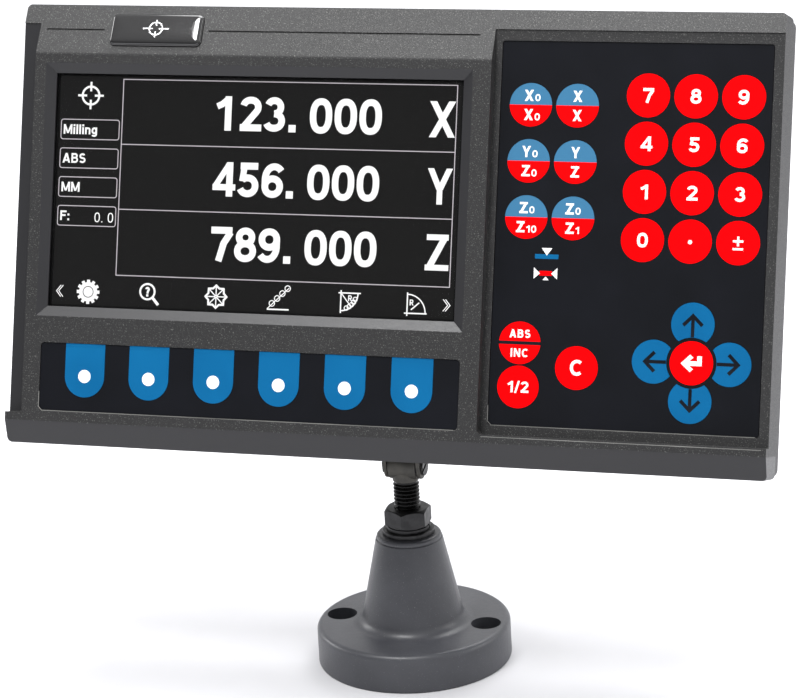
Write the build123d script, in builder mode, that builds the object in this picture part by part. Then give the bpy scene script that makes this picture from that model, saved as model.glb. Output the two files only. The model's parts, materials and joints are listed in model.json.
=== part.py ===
from build123d import *
import math
import os

os.makedirs("parts", exist_ok=True)

# Three-axis readout console on an M10 stem and a round cast foot.
# World: origin under the middle of the foot, Z up, the screen faces -Y.
# The head is drawn in its own frame: x to the right, y up the panel from its
# bottom edge, z out of the panel, so a depth behind the screen block is -z.

# ---- overall sizes of the console (mm)
panel_width = 293.0
panel_height = 167.6
bezel_depth = 20.0
panel_depth = 60.0
lean = 19.0
corner_radius = 3.0
bezel_corner = 1.8
wall = 2.5

# ---- where the tilt pivot is
pivot_height = 78.9
pivot_below = 2.1
pivot_behind = 44.7

# ---- front of the bezel
deck_depth = 4.6
deck_wall = 2.8
lip_top = 11.7
lip_bottom = 8.6
chamfer_depth = 4.0
deck_corner = 2.0
hood_bottom = 148.6
hood_edge = 160.2
hood_depth = 6.8
block_left = -139.8
block_right = 39.6
block_wall = 2.6
window_x = -51.3
window_y = 96.8
window_width = 160.5
window_height = 88.6
window_bevel = 3.8
window_bevel_depth = 1.8
softkey_x = -50.3
softkey_y = 25.75
softkey_width = 165.2
softkey_height = 25.9
keypad_x = 92.6
keypad_y = 85.7
keypad_width = 100.6
keypad_height = 140.8
overlay_corner = 0.8
board_x = 92.8
board_y = 83.5
board_width = 100.4
board_height = 139.0
soft_board_width = 170.0
soft_board_height = 27.0
badge_x = -92.2
badge_y = 157.8
badge_width = 36.8
badge_height = 13.2
groove_width = 0.8

# ---- rear cover
straight_depth = 28.0
cover_wall = 2.5
cover_inset = 0.4
tongue = 3.0
tongue_wall = 1.4
screw_x = 139.0
screw_low = 9.0
screw_high = 157.0
screw_radius = 1.5
boss_radius = 3.6
screw_seat_depth = 32.0

# ---- keys and overlays
key_radius = 7.95
small_key_radius = 7.8
key_gap = 0.12
key_proud = 0.1
key_plate = 0.9
key_stem_radius = 3.0
key_height = 1.7
overlay_sunk = 0.3
overlay_thick = 1.0
dome_gap = 0.45
board_thick = 1.6
softkey_ledge = 1.3
keypad_ledge = 2.5
number_x = 97.4
number_y = 137.0
number_pitch_x = 17.5
number_pitch_y = 17.43
axis_x = 53.8
axis_y = 132.8
axis_pitch_y = 20.5
mode_x = 53.3
mode_y = 45.8
half_y = 29.7
clear_x = 74.9
clear_y = 37.5
enter_x = 117.2
enter_y = 41.0
arrow_offset = 13.9
enter_ring = 9.2
soft_x = -114.7
soft_pitch = 25.79
soft_y = 26.3
soft_radius = 7.95
soft_top = 37.2

# ---- foot and stem
foot_radius = 37.5
foot_thick = 15.0
foot_round = 2.2
cone_blend = 4.5
foot_holes = 58.0
foot_hole_radius = 5.8
cone_bottom = 20.2
cone_top = 12.95
collar_bottom = 49.0
collar_radius = 12.5
cone_height = 51.2
cone_wall_top = 44.0
hollow_bottom = 13.0
hollow_top = 10.4
stud_radius = 5.0
stud_core = 4.35
thread_pitch = 1.5
thread_gap = 0.02
stem_gap = 0.35
stud_bottom = 14.0
washer_radius = 10.0
washer_thick = 1.8
spring_radius = 8.4
spring_thick = 1.5
nut_flats = 16.0
nut_height = 7.0
eye_radius = 5.7
eye_half = 5.4
neck_radius = 5.1
friction_washer = 0.35
ear_thick = 1.4
ear_radius = 5.4
pin_radius = 2.0
pin_head_radius = 4.0
pin_head_thick = 1.0
pivot_nut_thick = 1.0
pin_gap = 0.05
bracket_plate = 3.0
bracket_half = 19.0

# ---- boards and sockets
glass_thick = 1.0
lcd_width = 165.0
lcd_height = 100.0
lcd_thick = 5.7
main_depth = 24.0
main_x = -30.0
main_y = 99.0
main_width = 170.0
main_height = 84.0
inlet_x = -90.0
inlet_y = 46.0
inlet_width = 48.0
inlet_height = 28.0
socket_x = 14.0
socket_pitch = 38.0
socket_y = 46.0

lean_sin = math.sin(math.radians(lean))
lean_cos = math.cos(math.radians(lean))
out = Vector(0, -lean_cos, lean_sin)
up = Vector(0, lean_sin, lean_cos)
right = Vector(1, 0, 0)
pivot = Vector(0, 0, pivot_height)
datum = pivot + up * pivot_below + out * pivot_behind
slope = math.tan(math.radians(lean))
pivot_up = -pivot_below


def front(depth):
    """Plane parallel to the screen, this far behind its front."""
    return Plane(origin=datum - out * depth, x_dir=right, z_dir=out)


def side(x):
    """Plane across the console; its x is depth and its y is up the panel."""
    return Plane(origin=datum + right * x, x_dir=-out, z_dir=right)


def level(height):
    """Horizontal plane on the stem's axis."""
    return Plane(origin=(0, 0, height), x_dir=(1, 0, 0), z_dir=(0, 0, 1))


def save(piece, name):
    """Label one finished piece and write it."""
    piece.label = name
    export_step(piece, "parts/" + name + ".step")


# ================================================================ foot and stem
cone_profile = [
    (stud_radius + stem_gap, cone_wall_top),
    (hollow_top, cone_wall_top),
    (hollow_bottom, 0),
    (foot_radius, 0),
    (foot_radius, foot_thick),
    (cone_bottom, foot_thick),
    (cone_top, collar_bottom),
    (collar_radius, collar_bottom + 0.4),
    (collar_radius, cone_height),
    (stud_radius + stem_gap, cone_height),
]
cone_rounds = [
    (foot_radius, 0, 0.6),
    (foot_radius, foot_thick, foot_round),
    (cone_bottom, foot_thick, cone_blend),
    (collar_radius, cone_height, 1.2),
]
with BuildPart() as pedestal_base:
    with BuildSketch(Plane.XZ) as profile:
        Polygon(*cone_profile, align=None)
        for x, z, radius in cone_rounds:
            fillet(profile.vertices().sort_by_distance((x, z, 0))[0], radius)
    revolve(axis=Axis.Z)
    with BuildSketch(level(0)):
        with Locations((-foot_holes / 2, 0), (foot_holes / 2, 0)):
            Circle(foot_hole_radius)
    extrude(amount=foot_thick + 1, mode=Mode.SUBTRACT)
save(pedestal_base.part, "pedestal_base")


def nut(base, height):
    """Hexagon nut with chamfered corners on the stem's thread."""
    corner = nut_flats / math.sqrt(3)
    rim = nut_flats / 2 - 0.3
    drop = (corner - rim) * math.tan(math.radians(30))
    with BuildPart() as made:
        with BuildSketch(level(base)):
            RegularPolygon(corner, 6, rotation=30)
        extrude(amount=height)
        with BuildSketch(Plane.XZ):
            Polygon(
                (0, base),
                (rim, base),
                (corner, base + drop),
                (corner, base + height - drop),
                (rim, base + height),
                (0, base + height),
                align=None,
            )
        revolve(axis=Axis.Z, mode=Mode.INTERSECT)
        with BuildSketch(level(base - 1)):
            Circle(stud_radius + thread_gap)
        extrude(amount=height + 2, mode=Mode.SUBTRACT)
    return made.part


def ring(base, thick, outer, inner):
    """Flat ring round the stem."""
    with BuildPart() as made:
        with BuildSketch(level(base)):
            Circle(outer)
            Circle(inner, mode=Mode.SUBTRACT)
        extrude(amount=thick)
    return made.part


spring_base = cone_height + washer_thick
nut_base = spring_base + spring_thick
save(ring(cone_height, washer_thick, washer_radius, stud_radius + stem_gap), "flat_washer")

with BuildPart() as spring_washer:
    add(ring(spring_base, spring_thick, spring_radius, stud_radius + stem_gap))
    with BuildSketch(level(spring_base - 1)):
        with Locations((spring_radius - 1.4, 0)):
            Rectangle(5.0, 0.8)
    extrude(amount=spring_thick + 2, mode=Mode.SUBTRACT)
save(spring_washer.part, "spring_washer")
save(nut(nut_base, nut_height), "top_lock_nut")

low_washer_base = cone_wall_top - 1.6
low_nut_base = low_washer_base - nut_height
save(ring(low_washer_base, 1.6, 9.6, stud_radius + stem_gap), "lower_washer")
save(nut(low_nut_base, nut_height), "lower_nut")

# the stud's thread is shown as pointed rings at the true pitch
eye_bottom = pivot_height - eye_radius
stud_top = eye_bottom + 1.4
stud_profile = [(0, stud_bottom), (stud_core - 0.6, stud_bottom)]
thread_count = int((eye_bottom - 1.4 - stud_bottom) / thread_pitch)
for turn in range(thread_count):
    start = stud_bottom + 0.8 + turn * thread_pitch
    stud_profile += [
        (stud_core, start),
        (stud_radius, start + thread_pitch * 0.42),
        (stud_radius, start + thread_pitch * 0.58),
    ]
stud_profile += [(stud_core, stud_bottom + 0.8 + thread_count * thread_pitch)]
stud_profile += [(stud_core, stud_top), (0, stud_top)]
with BuildPart() as threaded_stud:
    with BuildSketch(Plane.XZ):
        Polygon(*stud_profile, align=None)
    revolve(axis=Axis.Z)
save(threaded_stud.part, "threaded_stud")

eye_plane = Plane(origin=(-eye_half, 0, pivot_height), x_dir=(0, 1, 0), z_dir=(1, 0, 0))
with BuildPart() as knuckle_eye:
    with BuildSketch(eye_plane):
        Circle(eye_radius)
    extrude(amount=2 * eye_half)
    with BuildSketch(level(eye_bottom - 0.4)):
        Circle(neck_radius)
    extrude(amount=3.4)
    with BuildSketch(eye_plane):
        Circle(pin_radius + pin_gap)
    extrude(amount=2 * eye_half, mode=Mode.SUBTRACT)
    with BuildSketch(level(eye_bottom - 1)):
        Circle(stud_core)
    extrude(amount=stud_top - eye_bottom + 1, mode=Mode.SUBTRACT)
save(knuckle_eye.part, "knuckle_eye")

# ================================================================ tilt bracket
ear_inner = eye_half + friction_washer
ear_outer = ear_inner + ear_thick
plate_front = 33.5
plate_back = 58.0
down_depth = lean_sin * bracket_plate
down_up = -lean_cos * bracket_plate
plate_low_front = (plate_front + down_depth, (plate_front - straight_depth) * slope + down_up)
plate_low_back = (plate_back + down_depth, (plate_back - straight_depth) * slope + down_up)
plate_high_front = (plate_front, (plate_front - straight_depth) * slope)
plate_high_back = (plate_back, (plate_back - straight_depth) * slope)
bracket_screw_x = 15.4
bracket_screw_depth = 46.0


def ear_sketch():
    """Ear of the bracket, from its plate down round the pivot."""
    root = (pivot_behind - 8.5, (pivot_behind - 8.5 - straight_depth) * slope - 1.0)
    heel = (pivot_behind + 9.5, (pivot_behind + 9.5 - straight_depth) * slope - 1.0)
    with BuildSketch() as made:
        with Locations((pivot_behind, pivot_up)):
            Circle(ear_radius)
        with Locations((root[0] + 0.5, root[1]), (heel[0] - 0.5, heel[1])):
            Circle(0.5)
        make_hull()
    return made.sketch


def plate_plane():
    """Plane of the bracket's plate where it meets the rear cover."""
    origin = datum - out * bracket_screw_depth
    origin = origin + up * ((bracket_screw_depth - straight_depth) * slope)
    return Plane(origin=origin, x_dir=(1, 0, 0), z_dir=(0, 0, -1))


with BuildPart() as tilt_bracket:
    with BuildSketch(side(-bracket_half)):
        Polygon(plate_high_front, plate_high_back, plate_low_back, plate_low_front, align=None)
    extrude(amount=2 * bracket_half)
    # the plate is open above the eye, so that the eye can turn in it
    with BuildSketch(side(-ear_inner)):
        with Locations((pivot_behind, pivot_up + 8.0)):
            Rectangle(15.0, 12.0)
    extrude(amount=2 * ear_inner, mode=Mode.SUBTRACT)
    for start in (-ear_outer, ear_inner):
        with BuildSketch(side(start)):
            add(ear_sketch())
        extrude(amount=ear_thick)
    with BuildSketch(side(-ear_outer - 1)):
        with Locations((pivot_behind, pivot_up)):
            Circle(pin_radius + pin_gap)
    extrude(amount=2 * ear_outer + 2, mode=Mode.SUBTRACT)
    with BuildSketch(plate_plane().offset(-1)):
        with Locations((-bracket_screw_x, 0), (bracket_screw_x, 0)):
            Circle(2.2)
    extrude(amount=6, mode=Mode.SUBTRACT)
save(tilt_bracket.part, "tilt_bracket")

with BuildPart() as bracket_screws:
    for x in (-bracket_screw_x, bracket_screw_x):
        with BuildSketch(plate_plane().offset(bracket_plate)):
            with Locations((x, 0)):
                Circle(3.1)
        extrude(amount=2.2)
        with BuildSketch(plate_plane().offset(-7)):
            with Locations((x, 0)):
                Circle(1.95)
        extrude(amount=7 + bracket_plate)
        with BuildSketch(plate_plane().offset(bracket_plate + 1.2)):
            with Locations((x, 0)):
                RegularPolygon(1.7, 6)
        extrude(amount=2, mode=Mode.SUBTRACT)
save(bracket_screws.part, "bracket_screws")

with BuildPart() as pivot_screw:
    with BuildSketch(side(-ear_outer - pivot_nut_thick - 0.2)):
        with Locations((pivot_behind, pivot_up)):
            Circle(pin_radius)
    extrude(amount=2 * ear_outer + pivot_nut_thick + 0.2)
    with BuildSketch(side(ear_outer)):
        with Locations((pivot_behind, pivot_up)):
            Circle(pin_head_radius)
    extrude(amount=pin_head_thick)
    slot_angle = 35
    with BuildSketch(side(ear_outer + 0.6)):
        with Locations((pivot_behind, pivot_up)):
            Rectangle(10, 1.2, rotation=slot_angle)
    extrude(amount=2, mode=Mode.SUBTRACT)
save(pivot_screw.part, "pivot_screw")

with BuildPart() as pivot_nut:
    with BuildSketch(side(-ear_outer - pivot_nut_thick)):
        with Locations((pivot_behind, pivot_up)):
            RegularPolygon(4.04, 6)
            Circle(pin_radius + thread_gap, mode=Mode.SUBTRACT)
    extrude(amount=pivot_nut_thick)
save(pivot_nut.part, "pivot_nut")

with BuildPart() as friction_washers:
    for start in (-ear_inner, eye_half):
        with BuildSketch(side(start)):
            with Locations((pivot_behind, pivot_up)):
                Circle(5.0)
                Circle(pin_radius + pin_gap, mode=Mode.SUBTRACT)
        extrude(amount=friction_washer)
save(friction_washers.part, "friction_washers")

# ================================================================ front bezel
hood_slope = hood_depth / (panel_height - hood_bottom)
inner_deck = deck_depth + deck_wall
middle = panel_height / 2

with BuildPart() as front_bezel:
    # full-width shell: bottom chamfer, lip, sunken deck and leaning hood
    with BuildSketch(side(-panel_width / 2)):
        Polygon(
            (bezel_depth, 0),
            (chamfer_depth, 0),
            (0.3, lip_bottom - 0.6),
            (0, lip_bottom + 0.2),
            (0, lip_top),
            (deck_depth, lip_top),
            (deck_depth, hood_edge),
            ((hood_edge - hood_bottom) * hood_slope, hood_edge),
            (hood_depth, panel_height),
            (bezel_depth, panel_height),
            align=None,
        )
    extrude(amount=panel_width)
    # the screen block stands proud of the deck
    with BuildSketch(side(block_left)) as block:
        Polygon(
            (deck_depth + 1, lip_top - 1),
            (0, lip_top - 1),
            (0, hood_bottom),
            (deck_depth + 1, hood_bottom + (deck_depth + 1) / hood_slope),
            align=None,
        )
        fillet(block.vertices().sort_by_distance((0, hood_bottom, 0))[0], 3.0)
    extrude(amount=block_right - block_left)
    # round corner where the block's wall meets the lip
    with BuildSketch(front(deck_depth + 0.5)):
        with Locations((block_right + deck_corner / 2, lip_top + deck_corner / 2)):
            Rectangle(deck_corner, deck_corner)
        with Locations((block_right + deck_corner, lip_top + deck_corner)):
            Circle(deck_corner, mode=Mode.SUBTRACT)
    extrude(amount=deck_depth + 0.5)
    # round the four corners of the outline
    with BuildSketch(front(bezel_depth)):
        with Locations((0, middle)):
            RectangleRounded(panel_width, panel_height, bezel_corner)
    extrude(amount=bezel_depth, mode=Mode.INTERSECT)
    # hollow behind the deck and hood
    with BuildSketch(side(-panel_width / 2 + wall)):
        Polygon(
            (bezel_depth + 1, wall),
            (inner_deck, wall),
            (inner_deck, hood_edge - 3.0),
            (hood_depth + 3.2, panel_height - wall),
            (bezel_depth + 1, panel_height - wall),
            align=None,
        )
    extrude(amount=panel_width - 2 * wall, mode=Mode.SUBTRACT)
    # deeper hollow behind the screen block
    with BuildSketch(side(block_left + wall)):
        Polygon(
            (inner_deck + 1, lip_top - 1.5),
            (block_wall, lip_top - 1.5),
            (block_wall, hood_bottom - 2),
            (inner_deck + 1, hood_bottom + 4),
            align=None,
        )
    extrude(amount=block_right - block_left - 2 * wall, mode=Mode.SUBTRACT)
    # screw posts
    for x in (-screw_x, screw_x):
        for y in (screw_low, screw_high):
            with BuildSketch(front(bezel_depth)):
                with Locations((x, y)):
                    Circle(boss_radius)
            extrude(amount=bezel_depth - inner_deck)
            with BuildSketch(front(bezel_depth)):
                with Locations((x, y)):
                    Circle(screw_radius + thread_gap)
            extrude(amount=9, mode=Mode.SUBTRACT)
    # screen window with its bevel
    with BuildSketch(front(block_wall + 1)):
        with Locations((window_x, window_y)):
            Rectangle(window_width, window_height)
    extrude(amount=block_wall + 2, mode=Mode.SUBTRACT)
    with BuildSketch(front(window_bevel_depth)) as bevel_in:
        with Locations((window_x, window_y)):
            Rectangle(window_width, window_height)
    with BuildSketch(front(0)) as bevel_out:
        with Locations((window_x, window_y)):
            Rectangle(window_width + 2 * window_bevel, window_height + 2 * window_bevel)
    loft(sections=[bevel_in.sketch, bevel_out.sketch], mode=Mode.SUBTRACT)
    # pockets and openings for the two overlays
    with BuildSketch(front(overlay_sunk + overlay_thick)):
        with Locations((softkey_x, softkey_y)):
            RectangleRounded(softkey_width, softkey_height, 1.6)
    extrude(amount=4, mode=Mode.SUBTRACT)
    with BuildSketch(front(block_wall + 1)):
        with Locations((softkey_x, softkey_y)):
            Rectangle(softkey_width - 2 * softkey_ledge, softkey_height - 2 * softkey_ledge)
    extrude(amount=6, mode=Mode.SUBTRACT)
    with BuildSketch(front(deck_depth + overlay_sunk + overlay_thick)):
        with Locations((keypad_x, keypad_y)):
            RectangleRounded(keypad_width, keypad_height, overlay_corner + 0.25)
    extrude(amount=4, mode=Mode.SUBTRACT)
    with BuildSketch(front(inner_deck + 1)):
        with Locations((keypad_x, keypad_y)):
            Rectangle(keypad_width - 2 * keypad_ledge, keypad_height - 2 * keypad_ledge)
    extrude(amount=6, mode=Mode.SUBTRACT)
    # badge pocket and the hood's parting groove
    badge_normal = out * (panel_height - hood_bottom) + up * hood_depth
    badge_origin = datum + right * badge_x + up * badge_y
    badge_origin = badge_origin - out * ((badge_y - hood_bottom) * hood_slope)
    badge_face = Plane(origin=badge_origin, x_dir=right, z_dir=badge_normal)
    with BuildSketch(badge_face.offset(-0.7)):
        RectangleRounded(badge_width, badge_height, 2.2)
    extrude(amount=3, mode=Mode.SUBTRACT)
    for left, finish in ((-137.0, -113.6), (-71.7, 34.1)):
        with BuildSketch(badge_face.offset(-0.5)):
            with Locations(((left + finish) / 2 - badge_x, 0)):
                Rectangle(finish - left, groove_width)
        extrude(amount=3, mode=Mode.SUBTRACT)
save(front_bezel.part, "front_bezel")

with BuildPart() as badge:
    with BuildSketch(badge_face.offset(-0.7)):
        RectangleRounded(badge_width - 0.3, badge_height - 0.3, 2.05)
    extrude(amount=1.6)
    chamfer(badge.faces().filter_by(badge_face).sort_by(Axis.Z)[-1].edges(), 0.45)
save(badge.part, "badge")

# ================================================================ rear cover
cover_width = panel_width - 2 * cover_inset
cover_height = panel_height - 2 * cover_inset


def outline(width, height, rounded):
    """Rectangle of the cover, with rounded corners when asked."""
    with BuildSketch() as made:
        with Locations((0, middle)):
            if rounded:
                RectangleRounded(width, height, corner_radius)
            else:
                Rectangle(width, height)
    return made.sketch


def cover_form(shrink, start, finish, rounded):
    """Solid of the cover: a straight rim, then walls that lean in to the back."""
    width = cover_width - 2 * shrink
    height = cover_height - 2 * shrink
    inset = (finish - straight_depth) * slope
    with BuildPart() as made:
        with BuildSketch(front(straight_depth)):
            add(outline(width, height, rounded))
        extrude(amount=straight_depth - start)
        with BuildSketch(front(straight_depth)) as rim:
            add(outline(width, height, rounded))
        with BuildSketch(front(finish)) as back:
            add(outline(width - 2 * inset, height - 2 * inset, rounded))
        loft(sections=[rim.sketch, back.sketch])
    return made.part


inlet_hole_width = inlet_width - 4
inlet_hole_height = inlet_height - 4
back_depth = panel_depth - cover_wall
with BuildPart() as inside:
    add(cover_form(cover_wall, bezel_depth - 1, back_depth, False))
    for x in (-screw_x, screw_x):
        for y in (screw_low, screw_high):
            with BuildSketch(front(panel_depth)):
                with Locations((x, y)):
                    Circle(boss_radius)
            extrude(amount=panel_depth, mode=Mode.SUBTRACT)
    for x in (-1, 1):
        for y in (-1, 1):
            with BuildSketch(front(panel_depth)):
                with Locations((main_x + x * (main_width / 2 - 5), main_y + y * (main_height / 2 - 5))):
                    Circle(3.2)
            extrude(amount=panel_depth - main_depth - board_thick, mode=Mode.SUBTRACT)

with BuildPart() as rear_cover:
    add(cover_form(0, bezel_depth, panel_depth, True))
    add(inside.part, mode=Mode.SUBTRACT)
    # tongue that locates the cover inside the bezel
    with BuildSketch(front(bezel_depth + 1.5)):
        with Locations((0, middle)):
            Rectangle(panel_width - 2 * wall - 0.4, panel_height - 2 * wall - 0.4)
            Rectangle(
                panel_width - 2 * wall - 0.4 - 2 * tongue_wall,
                panel_height - 2 * wall - 0.4 - 2 * tongue_wall,
                mode=Mode.SUBTRACT,
            )
    extrude(amount=tongue + 1.5)
    for x in (-screw_x, screw_x):
        for y in (screw_low, screw_high):
            with BuildSketch(front(bezel_depth)):
                with Locations((x, y)):
                    Circle(boss_radius + 0.4)
            extrude(amount=tongue + 2, mode=Mode.SUBTRACT)
            with BuildSketch(front(screw_seat_depth)):
                with Locations((x, y)):
                    Circle(screw_radius + 0.25)
            extrude(amount=screw_seat_depth, mode=Mode.SUBTRACT)
            with BuildSketch(front(panel_depth + 1)):
                with Locations((x, y)):
                    Circle(2.95)
            extrude(amount=panel_depth + 1 - screw_seat_depth, mode=Mode.SUBTRACT)
    # inlet, encoder and bracket openings
    with BuildSketch(front(panel_depth + 1)):
        with Locations((inlet_x, inlet_y)):
            Rectangle(inlet_hole_width, inlet_hole_height)
        for number in range(3):
            with Locations((socket_x + number * socket_pitch, socket_y)):
                Rectangle(19.0, 10.5)
                with Locations((-12.5, 0), (12.5, 0)):
                    Circle(1.7)
    extrude(amount=cover_wall + 2, mode=Mode.SUBTRACT)
    for row in range(9):
        with BuildSketch(front(panel_depth + 1)):
            with Locations((main_x, 82 + row * 5.0)):
                SlotOverall(110, 2.2)
        extrude(amount=cover_wall + 2, mode=Mode.SUBTRACT)
    with BuildSketch(plate_plane().offset(-4)):
        with Locations((-bracket_screw_x, 0), (bracket_screw_x, 0)):
            Circle(1.95 + thread_gap)
    extrude(amount=5, mode=Mode.SUBTRACT)
save(rear_cover.part, "rear_cover")

with BuildPart() as cover_screws:
    for x in (-screw_x, screw_x):
        for y in (screw_low, screw_high):
            with BuildSketch(front(screw_seat_depth + 2.0)):
                with Locations((x, y)):
                    Circle(2.7)
            extrude(amount=2.0)
            with BuildSketch(front(screw_seat_depth)):
                with Locations((x, y)):
                    Circle(screw_radius)
            extrude(amount=screw_seat_depth - bezel_depth + 7)
            with BuildSketch(front(screw_seat_depth + 2.0)):
                with Locations((x, y)):
                    Rectangle(3.4, 0.8)
                    Rectangle(0.8, 3.4)
            extrude(amount=1.0, mode=Mode.SUBTRACT)
save(cover_screws.part, "cover_screws")

# ================================================================ screen
with BuildPart() as lcd_window:
    with BuildSketch(front(block_wall + glass_thick)):
        with Locations((window_x, window_y)):
            Rectangle(window_width + 5, window_height + 5)
    extrude(amount=glass_thick)
save(lcd_window.part, "lcd_window")

lcd_front = block_wall + glass_thick
with BuildPart() as lcd_module:
    with BuildSketch(front(lcd_front + lcd_thick)):
        with Locations((window_x, window_y)):
            Rectangle(lcd_width, lcd_height)
    extrude(amount=lcd_thick)
    with BuildSketch(front(lcd_front + 0.4)):
        with Locations((window_x, window_y)):
            Rectangle(window_width - 1, window_height - 1)
    extrude(amount=1, mode=Mode.SUBTRACT)
save(lcd_module.part, "lcd_module")

# ================================================================ keys
number_names = [
    ("seven", "eight", "nine"),
    ("four", "five", "six"),
    ("one", "two", "three"),
    ("zero", "point", "sign"),
]
axis_names = [("x_zero", "x_select"), ("y_zero", "y_select"), ("z_zero", "z_select")]
keys = []
for row, names in enumerate(number_names):
    for column, name in enumerate(names):
        x = number_x + column * number_pitch_x
        y = number_y - row * number_pitch_y
        keys.append((name, x, y, key_radius))
for row, names in enumerate(axis_names):
    for column, name in enumerate(names):
        keys.append((name, axis_x + column * number_pitch_x, axis_y - row * axis_pitch_y, key_radius))
keys.append(("mode", mode_x, mode_y, small_key_radius))
keys.append(("half", mode_x, half_y, small_key_radius))
keys.append(("clear", clear_x, clear_y, key_radius))
keys.append(("enter", enter_x, enter_y, key_radius))
arrows = [
    ("arrow_up", enter_x, enter_y + arrow_offset),
    ("arrow_down", enter_x, enter_y - arrow_offset),
    ("arrow_left", enter_x - arrow_offset, enter_y),
    ("arrow_right", enter_x + arrow_offset, enter_y),
]
softkeys = []
for number in range(6):
    softkeys.append(("softkey_" + str(number + 1), soft_x + number * soft_pitch))


def arrow_shape(x, y, grow):
    """Disc with a bite taken out of it round the enter key."""
    with BuildSketch() as made:
        with Locations((x, y)):
            Circle(key_radius + grow)
        with Locations((enter_x, enter_y)):
            Circle(enter_ring - grow, mode=Mode.SUBTRACT)
    return made.sketch


def soft_shape(x, grow):
    """Tongue with a round lower end and a flat top."""
    tall = soft_top - soft_y + grow
    with BuildSketch() as made:
        with Locations((x, soft_y)):
            Circle(soft_radius + grow)
        with Locations((x, soft_y + tall / 2)):
            Rectangle(2 * (soft_radius + grow), tall)
    return made.sketch


def key_piece(shape, x, y, surface):
    """Key plate with the stem that presses its dome."""
    top = surface + overlay_sunk - key_proud
    with BuildPart() as made:
        with BuildSketch(front(top + key_plate)):
            add(shape)
        extrude(amount=key_plate)
        with BuildSketch(front(top + key_height)):
            with Locations((x, y)):
                Circle(key_stem_radius)
        extrude(amount=key_height - key_plate)
    return made.part


for name, x, y, radius in keys:
    with BuildSketch() as disc:
        with Locations((x, y)):
            Circle(radius)
    save(key_piece(disc.sketch, x, y, deck_depth), "key_" + name)
for name, x, y in arrows:
    save(key_piece(arrow_shape(x, y, 0), x, y, deck_depth), "key_" + name)
for name, x in softkeys:
    save(key_piece(soft_shape(x, 0), x, soft_y, 0), name)

with BuildPart() as keypad_overlay:
    with BuildSketch(front(deck_depth + overlay_sunk + overlay_thick)):
        with Locations((keypad_x, keypad_y)):
            RectangleRounded(keypad_width - 0.5, keypad_height - 0.5, overlay_corner)
        for name, x, y, radius in keys:
            with Locations((x, y)):
                Circle(radius + key_gap, mode=Mode.SUBTRACT)
        for name, x, y in arrows:
            add(arrow_shape(x, y, key_gap), mode=Mode.SUBTRACT)
    extrude(amount=overlay_thick)
save(keypad_overlay.part, "keypad_overlay")

with BuildPart() as softkey_overlay:
    with BuildSketch(front(overlay_sunk + overlay_thick)):
        with Locations((softkey_x, softkey_y)):
            RectangleRounded(softkey_width - 0.4, softkey_height - 0.4, 1.4)
        for name, x in softkeys:
            add(soft_shape(x, key_gap), mode=Mode.SUBTRACT)
    extrude(amount=overlay_thick)
save(softkey_overlay.part, "softkey_overlay")


def key_board(x, y, width, height, surface, face, spots):
    """Circuit board with one snap dome under every key."""
    key_bottom = surface + overlay_sunk - key_proud + key_height
    with BuildPart() as made:
        with BuildSketch(front(face + board_thick)):
            with Locations((x, y)):
                Rectangle(width, height)
        extrude(amount=board_thick)
        with BuildSketch(front(face)):
            for spot in spots:
                with Locations(spot):
                    Circle(2.6)
        extrude(amount=face - key_bottom - dome_gap)
    return made.part


keypad_spots = [(x, y) for name, x, y, radius in keys] + [(x, y) for name, x, y in arrows]
softkey_spots = [(x, soft_y) for name, x in softkeys]
keypad_board = key_board(board_x, board_y, board_width, board_height, deck_depth, inner_deck, keypad_spots)
save(keypad_board, "keypad_board")
softkey_board = key_board(
    softkey_x, softkey_y, soft_board_width, soft_board_height, 0, block_wall, softkey_spots
)
save(softkey_board, "softkey_board")

# ================================================================ main board and sockets
with BuildPart() as main_board:
    with BuildSketch(front(main_depth + board_thick)):
        with Locations((main_x, main_y)):
            Rectangle(main_width, main_height)
    extrude(amount=board_thick)
    blocks = [
        (-93.0, 112.0, 30.0, 26.0, 18.0),
        (-62.0, 118.0, 20.0, 22.0, 12.0),
        (-92.0, 80.0, 24.0, 14.0, 10.0),
        (-60.0, 86.0, 12.0, 12.0, 16.0),
        (-20.0, 108.0, 18.0, 18.0, 2.5),
        (14.0, 112.0, 14.0, 14.0, 2.0),
        (10.0, 68.0, 58.0, 9.0, 9.0),
        (-40.0, 68.0, 12.0, 12.0, 8.0),
    ]
    for x, y, width, height, tall in blocks:
        with BuildSketch(front(main_depth + board_thick + tall)):
            with Locations((x, y)):
                Rectangle(width, height)
        extrude(amount=tall)
save(main_board.part, "main_board")

inlet_back = panel_depth + 1.6
rocker_depth = panel_depth - 3.4
socket_hole_x = inlet_x - 9.5
rocker_x = inlet_x + 14.0
with BuildPart() as power_inlet:
    with BuildSketch(front(inlet_back)):
        with Locations((inlet_x, inlet_y)):
            RectangleRounded(inlet_width, inlet_height, 1.5)
    extrude(amount=1.6)
    with BuildSketch(front(panel_depth)):
        with Locations((inlet_x, inlet_y)):
            Rectangle(inlet_hole_width - 0.4, inlet_hole_height - 0.4)
    extrude(amount=20)
    with BuildSketch(front(inlet_back)):
        with Locations((socket_hole_x, inlet_y)):
            RectangleRounded(23.0, 16.0, 2.0)
    extrude(amount=17.6, mode=Mode.SUBTRACT)
    with BuildSketch(front(inlet_back)):
        with Locations((rocker_x, inlet_y)):
            Rectangle(13.0, 19.0)
    extrude(amount=12.6, mode=Mode.SUBTRACT)
    with BuildSketch(side(rocker_x - 7.4)):
        with Locations((rocker_depth, inlet_y)):
            Circle(1.2 + pin_gap)
    extrude(amount=14.8, mode=Mode.SUBTRACT)
    with BuildSketch(front(inlet_back - 17.6)):
        for dx, dy in ((-7.0, -2.0), (0.0, 2.0), (7.0, -2.0)):
            with Locations((socket_hole_x + dx, inlet_y + dy)):
                Rectangle(2.0, 4.0)
    extrude(amount=-11.0)
save(power_inlet.part, "power_inlet")

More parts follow.
